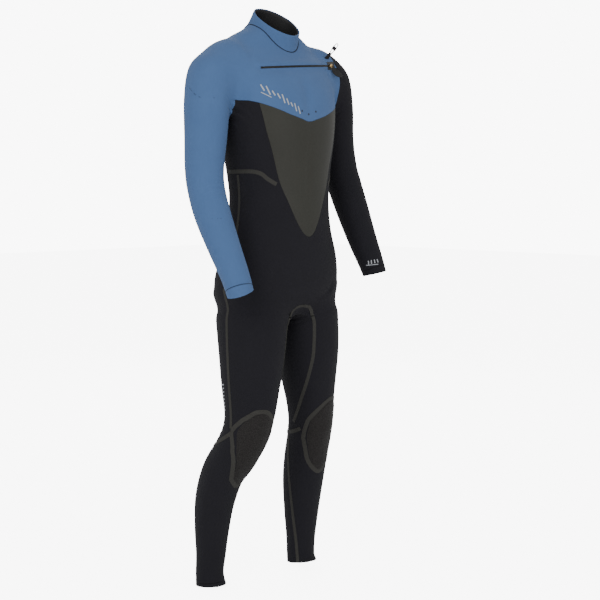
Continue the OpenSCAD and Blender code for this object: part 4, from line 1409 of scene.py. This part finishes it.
def build_pull(bm):
    extruded(bm, [tuple(q) for q in fin], -1.1, 1.1)
    n = 28
    a = np.linspace(0, 2 * np.pi, n, endpoint=False)
    eye, bore = 2.3, 1.25
    rows = [[bm.verts.new((x, r * math.cos(t), r * math.sin(t))) for t in a]
            for x, r in ((-2.4, bore), (-2.4, eye), (2.4, eye), (2.4, bore))]
    for i in range(4):
        A, B = rows[i], rows[(i + 1) % 4]
        for j in range(n):
            k = (j + 1) % n
            bm.faces.new([A[j], A[k], B[k], B[j]])


pull = solid("zip_pull", build_pull, 0.5, "plastic", from_pull)
finish_piece(pull, ("ride", "pull_tab"), ["zip_pull"], "pull_rubber")


# ------------------------------------------------------------------ neck drawcord
def from_cord(p):
    p = np.asarray(p, float)
    a, b = math.radians(24), math.radians(30)
    x, y, z = p[..., 0], p[..., 1], p[..., 2]
    y, z = y * math.cos(a) - z * math.sin(a), y * math.sin(a) + z * math.cos(a)
    x, z = x * math.cos(b) + z * math.sin(b), -x * math.sin(b) + z * math.cos(b)
    return np.stack([x + 133.0, y - 37.5, z + 1403.0], -1)


def build_strap(bm):
    pts = [(-5.6, 0.5), (-5.0, 6), (-4.6, 12), (-4.4, 17), (-3.6, 20), (3.6, 20), (4.4, 17), (4.6, 12),
           (5.0, 6), (5.6, 0.5)]
    extruded(bm, pts, -1.3, 1.0)


strap = solid("cord_tab", build_strap, 0.4, "cord", from_cord)
finish_piece(strap, ("ride", "torso"), ["cord_tab"], "cord")
line = rounded([(-2.4, 0, 19.2), (-3.3, 0, 24), (-4, 0, 29), (-4, 0, 35), (-4, 0, 40), (-3.9, 0, 44),
                (-2.6, 0, 47.2), (0, 0, 48.6),
                (2.6, 0, 47.2), (3.9, 0, 44), (4, 0, 40), (4, 0, 35), (4, 0, 29), (3.3, 0, 24),
                (2.4, 0, 19.2)], 6)
line = M(from_cord(line))
cu = bpy.data.curves.new("cord_loop", "CURVE")
cu.dimensions = "3D"
sp = cu.splines.new("POLY")
sp.points.add(len(line) - 1)
for k, q in enumerate(line):
    sp.points[k].co = (*q, 1)
cu.bevel_depth = 0.0011
cu.bevel_resolution = 5
cu.use_fill_caps = True
cu.materials.append(MATS["cord"])
cord_loop = bpy.data.objects.new("cord_loop", cu)
bpy.context.scene.collection.objects.link(cord_loop)
finish_piece(cord_loop, ("ride", "torso"), ["cord_loop"], "cord")


def build_lock(bm):
    n = 28
    a = np.linspace(0, 2 * np.pi, n, endpoint=False)
    prof = [(0, 0.86), (0.8, 1.0), (4.5, 1.0), (8.2, 1.0), (9, 0.86)]
    rows = [[bm.verts.new((6.3 * k * math.copysign(abs(math.cos(t)) ** 0.75, math.cos(t)),
                           3.2 * k * math.copysign(abs(math.sin(t)) ** 0.75, math.sin(t)),
                           30 + z)) for t in a] for z, k in prof]
    bm.faces.new(rows[0][::-1])
    bm.faces.new(rows[-1])
    for A, B in zip(rows, rows[1:]):
        for j in range(n):
            k = (j + 1) % n
            bm.faces.new([A[j], A[k], B[k], B[j]])


def bore(o, xs, r, z0, z1):
    """clears round holes along the cord's line through a lock"""
    for x in xs:
        bm = bmesh.new()
        a = np.linspace(0, 2 * np.pi, 20, endpoint=False)
        A = [bm.verts.new(M(from_cord([x + r * math.cos(t), r * math.sin(t), z0]))) for t in a]
        B = [bm.verts.new(M(from_cord([x + r * math.cos(t), r * math.sin(t), z1]))) for t in a]
        bm.faces.new(A[::-1])
        bm.faces.new(B)
        for i in range(20):
            bm.faces.new([A[i], A[(i + 1) % 20], B[(i + 1) % 20], B[i]])
        bmesh.ops.recalc_face_normals(bm, faces=bm.faces)
        me = bpy.data.meshes.new("cutter")
        bm.to_mesh(me)
        bm.free()
        cut = bpy.data.objects.new("cutter", me)
        bpy.context.scene.collection.objects.link(cut)
        md = o.modifiers.new("bore", "BOOLEAN")
        md.operation = "DIFFERENCE"
        md.solver = "EXACT"
        md.object = cut
        dg = bpy.context.evaluated_depsgraph_get()
        new = bpy.data.meshes.new_from_object(o.evaluated_get(dg))
        o.modifiers.clear()
        o.data = new
        bpy.data.objects.remove(cut)


lock = solid("cord_lock", build_lock, 0.0, "plastic", from_cord)
bore(lock, (-4, 4), 1.4, 28, 41)
finish_piece(lock, ("ride", "cord_toggle"), ["cord_lock"], "cord_lock")
list(line[0])

# ------------------------------------------------------------------ chest barrier, drain holes, printed marks
nx, nh = ((50, 24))
gx, gh = np.linspace(-121, 121, nx), np.linspace(1302, 1398, nh)
G = np.array([[x, front_of(x, h) + 9, h] for h in gh for x in gx])
G = to_surface(G, -10.2, 4)
_, gn = gradient(G)
T = []
for i in range(nh - 1):
    for j in range(nx - 1):
        a0 = i * nx + j
        T += [[a0, a0 + 1, a0 + nx + 1], [a0, a0 + nx + 1, a0 + nx]]
bar = Mesh(G, T, gn)
finish_piece(shell_object("chest_barrier", bar, 1.5, "lining"), ("ride", "torso"), ["chest_barrier"],
             "barrier_lining")

V, F = [], []
for x, h in ((-24, 1265), (0, 1258), (24, 1265)):
    p0 = to_surface(np.array([[x, front_of(x, h), h]]), 0, 3)
    n0 = gradient(p0)[1][0]
    e1 = np.cross([0, 0, 1.0], n0)
    e1 /= np.linalg.norm(e1)
    e2 = np.cross(n0, e1)
    b = len(V)
    k = 24
    rings_ = ((0.0, 0.25), (1.0, 0.25), (1.5, 0.55), (2.1, 0.5), (2.5, 0.1))
    V.append(p0[0] + n0 * 0.12)
    for r, up in rings_[1:]:
        for t in np.linspace(0, 2 * np.pi, k, endpoint=False):
            V.append(p0[0] + n0 * up + (e1 * math.cos(t) + e2 * math.sin(t)) * r)
    for j in range(k):
        F.append([b, b + 1 + j, b + 1 + (j + 1) % k])
    for i in range(3):
        for j in range(k):
            j2 = (j + 1) % k
            F.append([b + 1 + i * k + j, b + 1 + (i + 1) * k + j, b + 1 + (i + 1) * k + j2,
                      b + 1 + i * k + j2])
finish_piece(simple("drain_rings", np.array(V), F, "plastic", True), ("ride", "torso"), [], "seam_tape")


def mark(name, strokes, how):
    """plain printed bars: each stroke is a short path on the suit"""
    V, T, N = [], [], []
    b = 0
    for pts, w in strokes:
        m = ribbon(pts, w, 0.12, per=2.5, base=0.22)
        V.append(m.v)
        N.append(m.n)
        T.append(m.t + b)
        b += len(m.v)
    m = Mesh(np.vstack(V), np.vstack(T), np.vstack(N))
    finish_piece(shell_object(name, m, 0.14, "print", "print"), how, [], "seam_tape")


def on_front(x, h):
    return (x, front_of(x, h), h)


# a row of slanted bars in place of the lettering on the chest
strokes = []
for k in range(9):
    x = -124 + 11.2 * k
    mid = 1316 - 0.56 * (x + 124)
    up = 8.5 + 3.0 * math.sin(k * 1.9)
    strokes.append(([on_front(x - 2.0, mid + up), on_front(x + 1.0, mid), on_front(x + 3.6, mid - up + 2)],
                    3.4))
strokes.append(([on_front(-128 + 3 * k, 1306 - 0.56 * 3 * k) for k in range(8)], 2.0))
mark("chest_mark", strokes, ("ride", "torso"))
fore = []
for k in range(4):
    u = k / 3
    x0, y0, h0 = 232 + 20 * u, -98 - 12 * u, 888 + 4 * u
    fore.append(([(x0 - 1, y0, h0 + 5), (x0 + 1, y0, h0 - 5)], 2.6))
fore.append(([(228, -92, 881), (240, -104, 882), (252, -112, 883)], 1.6))
mark("forearm_mark", fore, ("ride", "left_forearm"))
leg_marks = []
for k in range(8):
    h = 604 - 9.0 * k
    leg_marks.append(([(-175, 10 + 0.04 * k, h), (-172, 21 + 0.04 * k, h - 2.5)], 3.0))
mark("thigh_mark", leg_marks, ("ride", "right_thigh"))

# ------------------------------------------------------------------ room and light
cuffs = [o for o in bpy.data.objects if o.name.endswith("ankle_cuff")]
low_z = float(min((o.matrix_world @ Vector(corner)).z for o in cuffs for corner in o.bound_box))
fl = bpy.data.meshes.new("floor")
S = 14.0
fl.from_pydata([(-S, -S, low_z - 0.002), (S, -S, low_z - 0.002), (S, S, low_z - 0.002),
                (-S, S, low_z - 0.002)], [], [[0, 1, 2, 3]])
fl.materials.append(MATS["floor"])
floor = bpy.data.objects.new("floor", fl)
bpy.context.scene.collection.objects.link(floor)


def area_light(name, loc, aim, size, power):
    li = bpy.data.lights.new(name, "AREA")
    li.shape = "RECTANGLE"
    li.size, li.size_y = size
    li.energy = power
    o = bpy.data.objects.new(name, li)
    o.location = loc
    o.rotation_euler = (Vector(aim) - Vector(loc)).to_track_quat("-Z", "Y").to_euler()
    bpy.context.scene.collection.objects.link(o)
    return o


area_light("key", (-3.6, -1.6, 1.0), (0, 0, -0.5), (2.2, 2.6), 120)
area_light("fill", (0.2, -4.0, 0.2), (0, 0, -0.6), (2.6, 2.6), 60)
area_light("rim", (2.4, 2.6, 1.4), (0, 0, -0.4), (2.0, 2.4), 70)
world = bpy.data.worlds.new("studio")
bpy.context.scene.world = world
world.use_nodes = True
wt = world.node_tree
bg = wt.nodes["Background"]
bg.inputs["Color"].default_value = (1, 1, 1, 1)
ray = wt.nodes.new("ShaderNodeLightPath")
lit = wt.nodes.new("ShaderNodeMapRange")      # softer on the suit than behind it
lit.inputs["To Min"].default_value = 1.15
lit.inputs["To Max"].default_value = 9.0
wt.links.new(ray.outputs["Is Camera Ray"], lit.inputs["Value"])
wt.links.new(lit.outputs["Result"], bg.inputs["Strength"])

for o in bpy.data.objects:
    if o.type == "MESH" and not o.data.materials:
        o.data.materials.append(MATS["black"])
